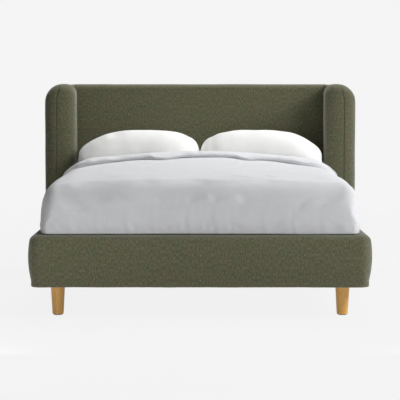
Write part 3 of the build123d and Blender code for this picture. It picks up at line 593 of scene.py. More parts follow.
def make_back_cloth():
    """The thin black cloth on the headboard's back, its edge drawn into shallow scallops."""
    low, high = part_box("headboard_back_cloth")
    x = np.linspace(low.x - 1 * MM, high.x + 1 * MM, 120)
    z = np.linspace(low.z - 1 * MM, high.z - 22 * MM, 90)
    gx, gz = np.meshgrid(x, z, indexing="ij")
    edge = np.minimum(np.minimum(gx - x[0], x[-1] - gx), np.minimum(gz - z[0], z[-1] - gz))
    pull = np.exp(-edge / SCALLOP_REACH) * (0.5 + 0.5 * np.cos(2 * np.pi * (gx + gz) / SCALLOP_PITCH))
    y = high.y - CLOTH_SETBACK + SCALLOP * pull - CLOTH_SETBACK * ease(edge, 0.0, 0.2) * 0.4
    outside = joined(gx, y, gz)
    inside = outside - np.array([0, CLOTH_THICKNESS, 0])
    shell = Shell()
    shell.grid(outside, joined(gx, gz))
    shell.grid(inside, joined(gx, gz), True)
    for a, b in ((outside, inside), (outside.swapaxes(0, 1), inside.swapaxes(0, 1))):
        for end in (0, -1):
            shell.rim(a[end], b[end], (0, 2))
    piece = shell.build("back_cloth")
    dress(piece, black_cloth, "bed_frame", "black_cloth", "headboard_back_cloth")


# Rails
SKIRT_HEIGHT = 31 * MM
SKIRT_SETBACK = 14 * MM
BULGE_HEIGHT = 148 * MM
RAIL_TOP_RADIUS = 34 * MM
RAIL_INNER_RADIUS = 12 * MM
RAIL_BOTTOM_RADIUS = 5 * MM
FOOT_CORNER = 60 * MM
FOOT_TURN = 45 * MM
END_ROLL = ((0.0, 3.0 * MM), (0.6 * MM, 1.4 * MM), (1.6 * MM, 0.5 * MM), (3.2 * MM, 0.0))
RAIL_CALM = (3 * MM, 20 * MM)
RAIL_NOISE = ((1.2 * MM, 0.25), (0.5 * MM, 0.06))


def rail_profile():
    """A rail's section round from its inner foot, distance from its inner face against height."""
    rise = BULGE_HEIGHT - SKIRT_HEIGHT
    radius = (rise**2 + SKIRT_SETBACK**2) / (2 * SKIRT_SETBACK)
    centre = rail_thickness - radius
    arm = radius - RAIL_TOP_RADIUS
    top_angle = math.degrees(math.asin((rail_height - RAIL_TOP_RADIUS - BULGE_HEIGHT) / arm))
    low_angle = -math.degrees(math.asin(rise / radius))
    corner = (centre + arm * math.cos(math.radians(top_angle)), rail_height - RAIL_TOP_RADIUS)
    skirt = rail_thickness - SKIRT_SETBACK
    low, inner = RAIL_BOTTOM_RADIUS, RAIL_INNER_RADIUS
    parts = [
        run((0, 0), (skirt - low, 0), 8),
        arc((skirt - low, low), low, -90, 0, 5)[1:],
        run((skirt, low), (skirt, SKIRT_HEIGHT), 5)[1:],
        arc((centre, BULGE_HEIGHT), radius, low_angle, top_angle, 34)[1:],
        arc(corner, RAIL_TOP_RADIUS, top_angle, 90, 12)[1:],
        run((corner[0], rail_height), (inner, rail_height), 6)[1:],
        arc((inner, rail_height - inner), inner, 90, 180, 6)[1:],
        run((0, rail_height - inner), (0, 0), 10)[1:-1],
    ]
    return np.concatenate(parts)


def rolled(profile, amount):
    """The section drawn in all round, for an end that is turned under."""
    centre = profile.mean(0)
    away = profile - centre
    return profile - amount * away / np.maximum(np.linalg.norm(away, axis=1)[:, None], 1e-6)


def below_the_top(points):
    """1 on a rail's faces and 0 on its level top, where the duvet hangs close over it."""
    return ease(rail_top - points[:, 2], *RAIL_CALM)


def make_side_rail(side):
    """One padded side rail from the foot rail's back to the wing's rounded front."""
    profile = rail_profile()
    start = foot_inner_y + 0.4 * MM
    loops = []
    for away, amount in END_ROLL:
        section = rolled(profile, amount)
        loops.append(joined(inner_x + section[:, 0], start + away, floor_gap + section[:, 1]))
    x = inner_x + profile[:, 0]
    end = wing_front(x) + 4 * MM
    for share in np.linspace(0, 1, 90)[1:]:
        y = (start + END_ROLL[-1][0]) * (1 - share) + end * share
        loops.append(joined(x, y, floor_gap + profile[:, 1]))
    piece = closed_sweep(f"side_rail_{side}", loops)
    soften(piece, 21 if side == LEFT else 31, *RAIL_NOISE, where=below_the_top)
    if side == LEFT:
        mirror_points(piece)
    upholster(piece, f"side_rail_cover_{side}", f"side_rail_foam_{side}")


def make_foot_rail():
    """The padded foot rail, carried round both front corners."""
    profile = rail_profile()
    inward = rail_thickness - profile[:, 0]
    section = joined(inward, profile[:, 1])
    centre = np.array([rail_outer_x - FOOT_CORNER, front_y + FOOT_CORNER])
    stations = []
    for away, amount in END_ROLL + ((8 * MM, 0.0), (16 * MM, 0.0)):
        stations.append(((-rail_outer_x, foot_inner_y - away), (-1.0, 0.0), amount))
    for angle in angles(180, 270, 24):
        c, s = math.cos(angle), math.sin(angle)
        stations.append(((-centre[0] + FOOT_CORNER * c, centre[1] + FOOT_CORNER * s), (c, s), 0.0))
    middle = np.linspace(-centre[0], centre[0], 121)[1:-1]
    mirror = [((-p[0], p[1]), (-n[0], n[1]), a) for p, n, a in reversed(stations)]
    stations += [((x, front_y), (0.0, -1.0), 0.0) for x in middle] + mirror
    loops = []
    for place, normal, amount in stations:
        place, normal = np.array(place), np.array(normal)
        side = math.copysign(1.0, place[0])
        shoulder = place - normal * FOOT_TURN
        reach = min(abs(place[0]) / rail_outer_x, 1.0)
        back_x = side * (centre[0] + (abs(shoulder[0]) - centre[0]) * reach)
        back = np.array([place[0] if abs(place[0]) <= centre[0] else back_x, foot_inner_y])
        near = np.minimum(inward, FOOT_TURN)[:, None]
        share = np.clip((inward - FOOT_TURN) / (rail_thickness - FOOT_TURN), 0, 1)[:, None]
        plan = (place - normal * near) * (1 - share) + back * share
        drawn = rolled(section, amount) if amount else section
        plan = plan - normal * (drawn[:, 0] - inward)[:, None]
        loops.append(joined(plan[:, 0], plan[:, 1], floor_gap + drawn[:, 1]))
    piece = closed_sweep("foot_rail", loops)
    soften(piece, 41, *RAIL_NOISE, where=below_the_top)
    upholster(piece, "foot_rail_cover", "foot_rail_foam")


# Duvet
DUVET_STATIONS = (
    (0.00, 0.53, 0.50, 0.50, 0.27),
    (0.25, 0.70, 0.74, 0.66, 0.45),
    (0.55, 0.88, 0.88, 1.16, 0.82),
    (0.75, 0.985, 0.96, 1.93, 1.12),
    (0.88, 0.965, 0.955, 1.95, 1.10),
    (1.00, 0.92, 0.94, 1.95, 1.10),
)
DUVET_TOP = 145 * MM
DUVET_SIDE = 68 * MM
DUVET_LEAN = 38 * MM
DUVET_TUCK = 1 * MM
DUVET_FALL = 40 * MM
DUVET_SHOULDER = 230 * MM
DUVET_FLANK_SHARE = 0.12
DUVET_FOOT_ROUND = (110 * MM, 110 * MM, 38 * MM)
DUVET_HEAD_ROUND = (70 * MM, 75 * MM, 30 * MM)
DUVET_FOOT_FULLER = 16 * MM
DUVET_HEM_LOWER = 2.6 * MM
DUVET_LINING_GAP = 4 * MM
QUILT_LEAST = 8 * MM
QUILT_OPEN = (9 * MM, 8 * MM)
QUILT_HEM = (5 * MM, 25 * MM)
QUILT_UNDER_FLAP = (-0.09, 0.06)
SHEET_CORNER = 72 * MM
SHEET_EDGE = 32 * MM
DUVET_SIDE_COUNT = 12
DUVET_SHARES = np.concatenate([[0.0, 0.004], np.linspace(0, 1, 61)[1:]])
FINE_SHARES = np.linspace(0, 1, 241)
DUVET_NOISE = (4 * MM, 0.3)
FLAP_NOISE = (3 * MM, 0.25)
FLAP_LENGTH = 365 * MM
FLAP_SLOPE = 48 * MM
FLAP_RISE = 29 * MM
FLAP_FULLER = 0.38
FLAP_FULLER_AT = (0.42, 0.28)
FLAP_OVERHANG = 7 * MM
FLAP_LINING_GAP = 2 * MM
FLAP_DIPS = ((-0.215, 0.075, 9 * MM), (0.262, 0.06, 8 * MM), (0.60, 0.10, 5 * MM))
FLAP_OPEN = (14 * MM, 8 * MM)
FLAP_WAVE = 5.0
FLAP_WAVE_REACH = 0.25
SAG_IN_FRONT = (-0.36, 0.32)
SAG_UNDER = (0.03, 0.1)
DUVET_AIR = 0.5
DUVET_SPARE = 0.03
DUVET_LIMIT = 4.5 * MM
FLAP_LIMIT = 4 * MM
CREASES = (
    (0.13, -0.78, 0.30, -0.97, 4.2 * MM, 16 * MM),
    (0.05, -0.84, 0.24, -1.01, 3.0 * MM, 15 * MM),
    (0.30, -0.72, 0.40, -0.90, 3.0 * MM, 16 * MM),
    (-0.48, -0.80, -0.36, -0.95, 1.8 * MM, 15 * MM),
    (-0.72, -0.86, -0.58, -0.80, 2.1 * MM, 16 * MM),
    (0.70, -0.88, 0.55, -0.76, 1.9 * MM, 16 * MM),
    (-0.20, -0.10, -0.32, -0.42, 2.0 * MM, 22 * MM),
    (0.27, -0.08, 0.20, -0.45, 2.0 * MM, 22 * MM),
)
RIPPLES = (
    (-0.66, 1.1 * MM), (-0.52, 0.9 * MM), (-0.37, 1.3 * MM), (-0.24, 0.8 * MM), (-0.06, 1.4 * MM),
    (0.07, 1.5 * MM), (0.16, 0.9 * MM), (0.31, 1.1 * MM), (0.46, 1.4 * MM), (0.60, 1.0 * MM),
)
RIPPLE_WIDTH = 15 * MM
RIPPLE_BEND = (12 * MM, 0.045)
RIPPLE_FACE = (-0.05, 0.05)
duvet_start, duvet_end = duvet_low[1] - DUVET_FOOT_FULLER, duvet_high[1]
flap_edge_y = duvet_end - FLAP_LENGTH
duvet_hem = duvet_low[2] - DUVET_HEM_LOWER
duvet_half = sheet_high[0]


def circle_through(a, b, c):
    """Centre and radius of the circle through three flat points."""
    (ax, ay), (bx, by), (cx, cy) = a, b, c
    d = 2 * (ax * (by - cy) + bx * (cy - ay) + cx * (ay - by))
    x = ((ax**2 + ay**2) * (by - cy) + (bx**2 + by**2) * (cy - ay) + (cx**2 + cy**2) * (ay - by)) / d
    y = ((ax**2 + ay**2) * (cx - bx) + (bx**2 + by**2) * (ax - cx) + (cx**2 + cy**2) * (bx - ax)) / d
    return np.array([x, y]), math.hypot(ax - x, ay - y)


def short_arc(centre, start, end, steps):
    """Points on the shorter arc from one point to another about a centre."""
    a = math.atan2(start[1] - centre[1], start[0] - centre[0])
    b = math.atan2(end[1] - centre[1], end[0] - centre[0])
    turn = (b - a + math.pi) % (2 * math.pi) - math.pi
    radius = math.hypot(start[0] - centre[0], start[1] - centre[1])
    ways = a + turn * np.linspace(0, 1, steps + 1)
    return joined(centre[0] + radius * np.cos(ways), centre[1] + radius * np.sin(ways))


def half_section(side_x, crest_z, fall, shoulder):
    """The duvet's right half in section, from its hem over its shoulder to its middle."""
    hem = (side_x - DUVET_TUCK, duvet_hem)
    corner = (side_x - DUVET_LEAN, crest_z - fall)
    flank = (side_x, duvet_hem + (corner[1] - duvet_hem) * DUVET_FLANK_SHARE)
    flank_centre, flank_radius = circle_through(hem, flank, corner)
    crest_centre, crest_radius = circle_through(corner, (0, crest_z), (-corner[0], corner[1]))
    a, b = flank_radius - shoulder, crest_radius - shoulder
    between = crest_centre - flank_centre
    gap = np.linalg.norm(between)
    along = (a * a - b * b + gap * gap) / (2 * gap)
    aside = math.sqrt(max(a * a - along * along, 0.0))
    unit = between / gap
    normal = np.array([-unit[1], unit[0]])
    options = [flank_centre + unit * along + sign * aside * normal for sign in (-1, 1)]
    middle = min(options, key=lambda p: math.hypot(p[0] - corner[0], p[1] - corner[1]))
    touch_flank, touch_crest = (
        centre + (middle - centre) * radius / np.linalg.norm(middle - centre)
        for centre, radius in ((flank_centre, flank_radius), (crest_centre, crest_radius))
    )
    return np.concatenate(
        [
            short_arc(flank_centre, hem, touch_flank, 60),
            short_arc(middle, touch_flank, touch_crest, 60)[1:],
            short_arc(crest_centre, touch_crest, (0, crest_z), 60)[1:],
        ]
    )


def even_points(line, shares):
    """Points of a line at shares of its length."""
    length = running_length(line)
    return joined(*(np.interp(shares * length[-1], length, values) for values in line.T))


def duvet_arch(y, drop=0.0, draw=0.0, rise=0.0, shares=DUVET_SHARES):
    """The whole section from the right hem to the left one, at equal shares of each half."""
    place = (y - duvet_start) / (duvet_end - duvet_start)
    table = np.array(DUVET_STATIONS)
    top, side, fall, shoulder = (float(smooth_row(np.array(place), table, i)) for i in (1, 2, 3, 4))
    side_x = duvet_half + DUVET_SIDE * side - draw + FLAP_OVERHANG * rise / FLAP_RISE
    crest_z = mattress_top + DUVET_TOP * top - drop + rise
    half = half_section(side_x, crest_z, DUVET_FALL * fall, DUVET_SHOULDER * shoulder)
    half = even_points(half, shares)
    whole = np.concatenate([half, (half * np.array([-1, 1]))[-2::-1]])
    return joined(whole[:, 0], y, whole[:, 1])


def round_end(shape, steps):
    """Distance from the end, drop and draw-in along a quarter round."""
    length, drop, draw = shape
    turns = ((1 - math.cos(a), 1 - math.sin(a)) for a in angles(0, 90, steps))
    return [(length * along, drop * down, draw * down) for along, down in turns]


def arch_cap(arch, pull):
    """A grid over an arch's opening, the hem line below, between the arch's sides and its top."""
    n = DUVET_SIDE_COUNT
    right, top, left = arch[: n + 1], arch[n:-n], arch[-n - 1 :]
    hem = run(arch[0], arch[-1], len(top) - 1)
    cap = coons(hem, left[::-1], top, right)
    up = (cap[..., 2] - duvet_hem) / np.maximum(arch_height(arch, cap[..., 0]) - duvet_hem, 1 * MM)
    across = 1 - (cap[..., 0] / arch[0, 0]) ** 2
    cap[..., 1] += pull * np.clip(across, 0, 1) * np.clip(4 * up * (1 - up), 0, 1) ** 2
    return cap


def arch_height(arch, x):
    """Height of an arch over places across it."""
    order = np.argsort(arch[:, 0])
    return np.interp(x, arch[order, 0], arch[order, 2])


def hollow(x):
    """How deep the soft valleys under the folded edge are at a place across."""
    return sum(depth * bell(x - place, width) for place, width, depth in FLAP_DIPS)


def sag(grid):
    """Lowers the top along the valleys, in front of the folded edge and a little under it."""
    away = grid[..., 1] - flap_edge_y
    grid[..., 2] -= hollow(grid[..., 0]) * (ease(away, *SAG_IN_FRONT) * (1 - ease(away, *SAG_UNDER)))


def quilt(name, outside, inside, rims, caps=()):
    """A quilt's outside and inside, caps over their foot end, and the rims that join them."""
    shell = Shell()
    along = running_length(outside[:, len(DUVET_SHARES)])
    around = running_length(outside[len(outside) // 2])
    for grid, flip in ((outside, False), (inside, True)):
        shell.grid(grid, joined(around, along[:, None]), flip)
    for cap, flip in zip(caps, (True, False)):
        shell.grid(cap, caps[0][..., [0, 2]], flip)
    for first, second in [(outside[:, 0], inside[:, 0]), (outside[:, -1], inside[:, -1]), *rims]:
        shell.rim(first, second)
    return shell.build(name)


def press_to_lining(grid):
    """Draws a copy of the outside in onto the mattress, at least a thin quilt deep."""
    corner, edge = SHEET_CORNER + DUVET_LINING_GAP, SHEET_EDGE + DUVET_LINING_GAP
    low, high = np.array(sheet_low[:2]), np.array(sheet_high[:2])
    half = (high - low) / 2 + DUVET_LINING_GAP
    plan = grid[..., :2] - (low + high) / 2
    core = np.clip(plan, -(half - corner), half - corner)
    length = np.linalg.norm(plan - core, axis=-1)
    beyond = np.maximum(length - (corner - edge), 0.0)
    above = np.maximum(grid[..., 2] - (sheet_high[2] + DUVET_LINING_GAP - edge), 0.0)
    away = np.maximum(np.hypot(beyond, above), 1e-6)
    reach = np.where(beyond > 0, corner - edge + edge * beyond / away, length)
    target = grid.copy()
    plan = core + (plan - core) * (reach / np.maximum(length, 1e-6))[..., None]
    target[..., :2] = plan + (low + high) / 2
    target[..., 2] = np.where(above > 0, grid[..., 2] - above + edge * above / away, grid[..., 2])
    back = grid - target
    distance = np.maximum(np.linalg.norm(back, axis=-1), 1e-6)[..., None]
    grid[...] = np.where(distance < QUILT_LEAST, grid - back / distance * QUILT_LEAST, target)


def off_the_mattress(points):
    """1 on a quilt's outside and 0 on its lining."""
    pressed = points.copy()
    press_to_lining(pressed)
    return ease(np.linalg.norm(points - pressed, axis=1), *QUILT_OPEN)


def held_quilt(points):
    """1 where the quilt is held by the mattress, its fold or its hem, 0 where it can puff up."""
    under = ease(points[:, 1] - flap_edge_y, *QUILT_UNDER_FLAP)
    hem = 1 - ease(points[:, 2] - duvet_hem, *QUILT_HEM)
    return np.maximum(np.maximum(1 - off_the_mattress(points), under), hem)


def over_the_body(points):
    """1 on the fold's upper side, 0 on its underside."""
    arches = [duvet_arch(y, shares=FINE_SHARES) for y in np.linspace(flap_edge_y - 0.05, duvet_end, 12)]
    return ease(nearest(points, np.concatenate(arches))[0], *FLAP_OPEN)


def creases(points):
    """Heights of the soft creases at the foot end and of the upright ripples in its face."""
    plan = points[:, :2]
    height = np.zeros(len(points))
    for x0, y0, x1, y1, depth, width in CREASES:
        start, end = np.array([x0, y0]), np.array([x1, y1])
        along = end - start
        share = np.clip((plan - start) @ along / (along @ along), 0, 1)
        away = np.linalg.norm(plan - start - share[:, None] * along, axis=1) / width
        taper = np.sin(np.pi * np.clip(share, 0.02, 0.98))
        height += depth * taper * (0.7 * bell(away - 1.3) - bell(away))
    low = np.clip((mattress_top - points[:, 2]) / (mattress_top - duvet_hem), 0, 1)
    face = ease(duvet_start - points[:, 1], *RIPPLE_FACE) * low
    bend = RIPPLE_BEND[0] * np.sin(points[:, 2] / RIPPLE_BEND[1])
    for place, depth in RIPPLES:
        away = (points[:, 0] - place - bend) / RIPPLE_WIDTH
        height += depth * face * (bell(away - 1.2) - bell(away))
    return height * off_the_mattress(points)


def duvet_body():
    """The quilt over the mattress, with its lining drawn in onto it."""
    stations = [(duvet_start + along, *rest) for along, *rest in round_end(DUVET_FOOT_ROUND, 10)]
    stations += [(y,) for y in np.linspace(stations[-1][0], duvet_end - 0.12, 62)[1:]]
    outside = np.array([duvet_arch(*station) for station in stations])
    sag(outside)
    cap = arch_cap(outside[0], -4 * MM)
    lining, lining_cap = outside.copy(), cap.copy()
    for grid in (lining, lining_cap):
        press_to_lining(grid)
    rims = [(outside[-1], lining[-1]), (cap[0], lining_cap[0])]
    return quilt("duvet_body", outside, lining, rims, (cap, lining_cap))


def duvet_fold():
    """The quilt's head end, folded back over it, fuller towards both sides."""
    stations = []
    for angle in angles(-90, 90, 8):
        c, s = math.cos(angle), math.sin(angle)
        reach = FLAP_RISE / 2 if s < 0 else FLAP_SLOPE
        stations.append((flap_edge_y + reach * (1 - c), 0.0, 0.0, FLAP_RISE * (0.5 + 0.5 * s)))
    head = [(duvet_end - along, *rest, FLAP_RISE) for along, *rest in round_end(DUVET_HEAD_ROUND, 10)]
    level = np.linspace(stations[-1][0], head[-1][0], 24)[1:-1]
    stations += [(y, 0.0, 0.0, FLAP_RISE) for y in level] + head[::-1]
    outside = np.array([duvet_arch(*station) for station in stations])
    inside = np.array(
        [
            duvet_arch(min(y, duvet_end - 4 * MM), drop, draw + FLAP_LINING_GAP, -FLAP_LINING_GAP)
            for y, drop, draw, _ in stations
        ]
    )
    inside[-1] = outside[-1]
    fuller = FLAP_FULLER * ease(np.abs(outside[..., 0]), *FLAP_FULLER_AT)
    outside += (outside - inside) * fuller[..., None]
    for grid in (outside, inside):
        sag(grid)
        near = 1 - ease(grid[..., 1] - flap_edge_y, 0.0, FLAP_WAVE_REACH)
        grid[..., 1] -= FLAP_WAVE * hollow(grid[..., 0]) * near
    return quilt("duvet_fold", outside, inside, [(outside[0], inside[0])])


def make_duvet():
    """The quilt and its fold, each settled under air pressure."""
    body, flap = duvet_body(), duvet_fold()
    soften(body, 51, DUVET_NOISE, where=off_the_mattress)
    soften(flap, 52, FLAP_NOISE)
    blown_up(body, DUVET_LIMIT, DUVET_AIR, DUVET_SPARE, pinned=held_quilt, after=creases)
    blown_up(flap, FLAP_LIMIT, DUVET_AIR, DUVET_SPARE, pinned=lambda points: 1 - over_the_body(points))
    for piece, nodes in ((body, ["duvet"]), (flap, [])):
        dress(piece, duvet_cotton, "duvet", "duvet_cotton", *nodes, fill=0.5)


# Pillows
PILLOW_STATIONS = (
    (-0.500, 0.86, 0.11, 0.10),
    (-0.470, 0.94, 0.46, 0.05),
    (-0.380, 0.99, 0.79, 0.0),
    (-0.250, 1.00, 0.96, 0.0),
    (-0.080, 0.98, 1.00, 0.0),
    (0.120, 0.98, 0.97, 0.0),
    (0.260, 1.00, 0.86, 0.05),
    (0.380, 0.95, 0.57, 0.05),
    (0.465, 0.74, 0.27, 0.0),
    (0.500, 0.45, 0.10, 0.0),
)
PILLOW_DEPTH = 440 * MM
PILLOW_CROWN = 178 * MM
PILLOW_BELLY = 104 * MM
PILLOW_DROOP = 26 * MM
PILLOW_TILT = math.radians(12.0)
PILLOW_AIR = 4.0
PILLOW_SPARE = 0.05
PILLOW_LIMIT = 18 * MM
PILLOW_START = 0.92
PILLOW_VOXEL = 8 * MM
PILLOW_EVEN = 30
PILLOW_NOISE = (4 * MM, 0.15)
PILLOW_SEAM_DEPTH = 1.8 * MM
PILLOW_SEAM_WIDTH = 5 * MM
PILLOW_GATHER = 1.2 * MM
PILLOW_GATHER_REACH = 30 * MM
PILLOW_GATHER_PITCH = 27 * MM


def make_pillow(side):
    """One pillow, a crowned lens that thins to both ends, tilted against the headboard."""
    low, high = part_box(f"pillow_{RIGHT}")
    width = high.x - low.x
    table = np.array(PILLOW_STATIONS)
    places = np.sin(np.linspace(-math.pi / 2, math.pi / 2, 61)) / 2
    depth, thick, droop = (smooth_row(places, table, i) for i in (1, 2, 3))
    ways = np.linspace(0, 2 * math.pi, 73)
    swell = np.where(np.sin(ways) >= 0, PILLOW_CROWN * PILLOW_START, -PILLOW_BELLY)
    loops = []
    for place, d, t, fall in zip(places, depth, thick, droop):
        half = PILLOW_DEPTH * d / 2
        y = -np.cos(ways) * half
        z = swell * t * (1 - (y / half) ** 2) - PILLOW_DROOP * fall
        turned_y = y * math.cos(PILLOW_TILT) - z * math.sin(PILLOW_TILT)
        turned_z = y * math.sin(PILLOW_TILT) + z * math.cos(PILLOW_TILT)
        loops.append(joined(width * place, turned_y, turned_z))
    loops = np.array(loops)
    loops[..., 0] += (low.x + high.x) / 2
    loops[..., 1] += high.y - loops[..., 1].max()
    loops[..., 2] += low.z - loops[..., 2].min()
    shell = Shell()
    shell.grid(loops, loops[..., [0, 1]])
    shell.polygon(loops[0][:-1])
    shell.polygon(loops[-1][:-1][::-1])
    piece = shell.build(f"pillow_{side}_cover")
    mid = len(ways) // 2
    seam = np.concatenate([loops[0, : mid + 1], loops[:, mid], loops[-1, mid::-1], loops[::-1, 0]])
    seed = 61 if side == LEFT else 71
    if side == LEFT:
        mirror_points(piece)
        seam = seam * np.array([-1, 1, 1])
    soften(piece, seed, PILLOW_NOISE)

    def gathers(points):
        away, along = nearest(points, seam)
        phase = 2 * math.pi * along / PILLOW_GATHER_PITCH + 2.5 * wander(points, 0.12, seed + 1)
        at_seam = bell(away, PILLOW_SEAM_WIDTH)
        waves = PILLOW_GATHER * np.sin(phase) * np.exp(-away / PILLOW_GATHER_REACH) * (1 - at_seam)
        return waves - PILLOW_SEAM_DEPTH * at_seam

    blown_up(piece, PILLOW_LIMIT, PILLOW_AIR, PILLOW_SPARE, PILLOW_VOXEL, PILLOW_EVEN, after=gathers)
    dress(piece, pillow_cotton, f"pillow_{side}", "pillow_cotton", f"pillow_{side}", fill=0.7)


# Mattress and fitted sheet
MATTRESS_CORNER = 70 * MM
MATTRESS_EDGE = 30 * MM
MATTRESS_STEPS = (64, 80)
SHEET_GATHER = 1.8 * MM
SHEET_GATHER_PITCH = 31 * MM
SHEET_GATHER_HEIGHT = 70 * MM


def stacked_loops(low, high, corner, edge, bottom_edge, layers):
    """Rounded rectangles one above another, drawn in over the rounded top and bottom edges."""
    under = angles(0, 75, 5) if bottom_edge else ()
    levels = [(low[2] + bottom_edge * (1 - math.cos(a)), bottom_edge * (1 - math.sin(a))) for a in under]
    rise = high[2] - edge - low[2] - bottom_edge
    shares = np.linspace(0, 1, layers + 1)[:-1]
    levels += [(low[2] + bottom_edge + share * rise, 0.0) for share in shares]
    levels += [(high[2] - edge * (1 - math.sin(a)), edge * (1 - math.cos(a))) for a in angles(0, 90, 8)]
    plan_low, plan_high = np.array(low[:2]), np.array(high[:2])
    loops = []
    for z, inset in levels:
        radii = [max(corner - inset, 1 * MM)] * 4
        flat = rounded_loop(plan_low + inset, plan_high - inset, radii, MATTRESS_STEPS)
        loops.append(joined(flat[:, 0], flat[:, 1], z))
    return np.array(loops)


def make_mattress():
    """The mattress in its plain ticking, drawn in round both edges."""
    loops = stacked_loops(core_low, core_high, MATTRESS_CORNER, MATTRESS_EDGE, MATTRESS_EDGE, 14)
    piece = tube(loops, MATTRESS_STEPS).build("mattress")
    dress(piece, ticking, "mattress", "mattress_ticking", "mattress_core", fill=0.9)


def make_sheet():
    """The fitted sheet, drawn tight over the mattress, gathered at its hem."""
    loops = stacked_loops(sheet_low, sheet_high, SHEET_CORNER, SHEET_EDGE, 0.0, 16)
    shell = Shell()
    shell.grid(loops, joined(running_length(loops[0]), running_length(loops[:, 0])[:, None]))
    cap = cap_of(loops[-1], MATTRESS_STEPS)
    shell.grid(cap, cap[..., [0, 1]], True)
    piece = shell.build("fitted_sheet_cloth")
    points = points_of(piece.data)
    low = 1 - ease(points[:, 2] - sheet_low[2], 0.0, SHEET_GATHER_HEIGHT)
    phase = 2 * np.pi * (points[:, 0] + points[:, 1]) / SHEET_GATHER_PITCH
    phase = phase + 3 * wander(points, 0.15, 81)
    raise_by(piece, SHEET_GATHER * low * (0.5 + 0.5 * np.sin(phase)))
    dress(piece, sheet_cotton, "mattress", "sheet_cotton", "fitted_sheet")


# Materials
def dimmed(colour, share):
    """A colour with its parts scaled down."""
    return tuple(part * share for part in colour)


def opaque(colour):
    """A colour's three parts with full opacity, or another node's socket as it is."""
    return (*colour, 1.0) if isinstance(colour, tuple) else colour


class Nodes:
    """Short calls that add nodes to a tree and link them."""

    def __init__(self, tree):
        self.tree = tree

    def node(self, kind, inputs=(), **settings):
        """Adds a node; inputs go by name or number and are values or other nodes' sockets."""
        made = self.tree.nodes.new("ShaderNode" + kind)
        for name, value in settings.items():
            setattr(made, name, value)
        for key, value in dict(inputs).items():
            if isinstance(value, bpy.types.NodeSocket):
                self.tree.links.new(value, made.inputs[key])
            else:
                made.inputs[key].default_value = value
        return made

    def math(self, operation, first, second=0.0, clamp=False):
        """Arithmetic on values."""
        return self.node("Math", {0: first, 1: second}, operation=operation, use_clamp=clamp).outputs[0]

    def plus(self, first, second):
        """The sum of two values."""
        return self.math("ADD", first, second)

    def times(self, first, second):
        """The product of two values."""
        return self.math("MULTIPLY", first, second)

    def between(self, *values):
        """Maps a value smoothly from one range to another: value, low, high, new low, new high."""
        return self.node("MapRange", enumerate(values), interpolation_type="SMOOTHSTEP").outputs[0]

    def where(self):
        """Texture coordinates in the object's own frame."""
        return self.node("TexCoord").outputs["Object"]

    def seen_directly(self):
        """1 for rays from the camera, by way of gloss or glass too."""
        path = self.node("LightPath").outputs
        total = path["Is Camera Ray"]
        for name in ("Is Glossy Ray", "Is Transmission Ray"):
            total = self.math("ADD", total, path[name], True)
        return total

    def mix_shaders(self, share, first, second):
        """A mix of two nodes' shaders."""
        return self.node("MixShader", {0: share, 1: first.outputs[0], 2: second.outputs[0]}).outputs[0]


class Finish(Nodes):
    """A node material with short calls for its parts."""

    def __init__(self, name, **values):
        self.material = bpy.data.materials.new(name)
        self.material.use_nodes = True
        super().__init__(self.material.node_tree)
        self.shader = self.tree.nodes["Principled BSDF"]
        for socket, value in values.items():
            self.shader.inputs[socket.replace("_", " ")].default_value = value

    def cloth(self):
        """Cloth coordinates in metres."""
        return self.node("UVMap", uv_map="cloth").outputs[0]

    def noise(self, vector, scale, detail=2.0, roughness=0.5, distortion=0.0):
        """Smooth noise, 0 to 1."""
        inputs = {"Vector": vector, "Scale": scale, "Detail": detail}
        inputs.update(Roughness=roughness, Distortion=distortion)
        return self.node("TexNoise", inputs).outputs["Fac"]

    def drawn_out(self, vector, scale, detail=2.0, roughness=0.5, rotation=(0, 0, 0)):
        """Noise of another size along each axis."""
        inputs = {"Vector": vector, "Scale": scale, "Rotation": rotation}
        return self.noise(self.node("Mapping", inputs).outputs[0], 1.0, detail, roughness)

    def mix(self, share, first, second, kind="MIX"):
        """A mix of two colours."""
        inputs = {0: share, 6: opaque(first), 7: opaque(second)}
        return self.node("Mix", inputs, data_type="RGBA", blend_type=kind).outputs[2]

    def shaded(self, colour, *layers):
        """A colour with others over it, each as strong as a range of a pattern's values says."""
        for *pattern, other in layers:
            colour = self.mix(self.between(*pattern), colour, other)
        return colour

    def bump(self, height, distance, strength, under=None):
        """Raises the surface by a height pattern, on top of another bump."""
        inputs = {"Height": height, "Distance": distance, "Strength": strength}
        if under is not None:
            inputs["Normal"] = under
        return self.node("Bump", inputs).outputs[0]

    def set(self, **sockets):
        """Links sockets of the shader."""
        for name, value in sockets.items():
            self.tree.links.new(value, self.shader.inputs[name.replace("_", " ")])
        return self.material


TWEED_PITCH = 1.9 * MM
TWEED_BASE = (0.1436, 0.1381, 0.0757)
TWEED_GREEN = (0.1249, 0.1425, 0.0701)
TWEED_BROWN = (0.1579, 0.1386, 0.0805)
TWEED_PALE = (0.2324, 0.2302, 0.1512)
TWEED_DARK = (0.0548, 0.0526, 0.0285)
TWEED_FLECK = (150.0, 62.0, 1.0)


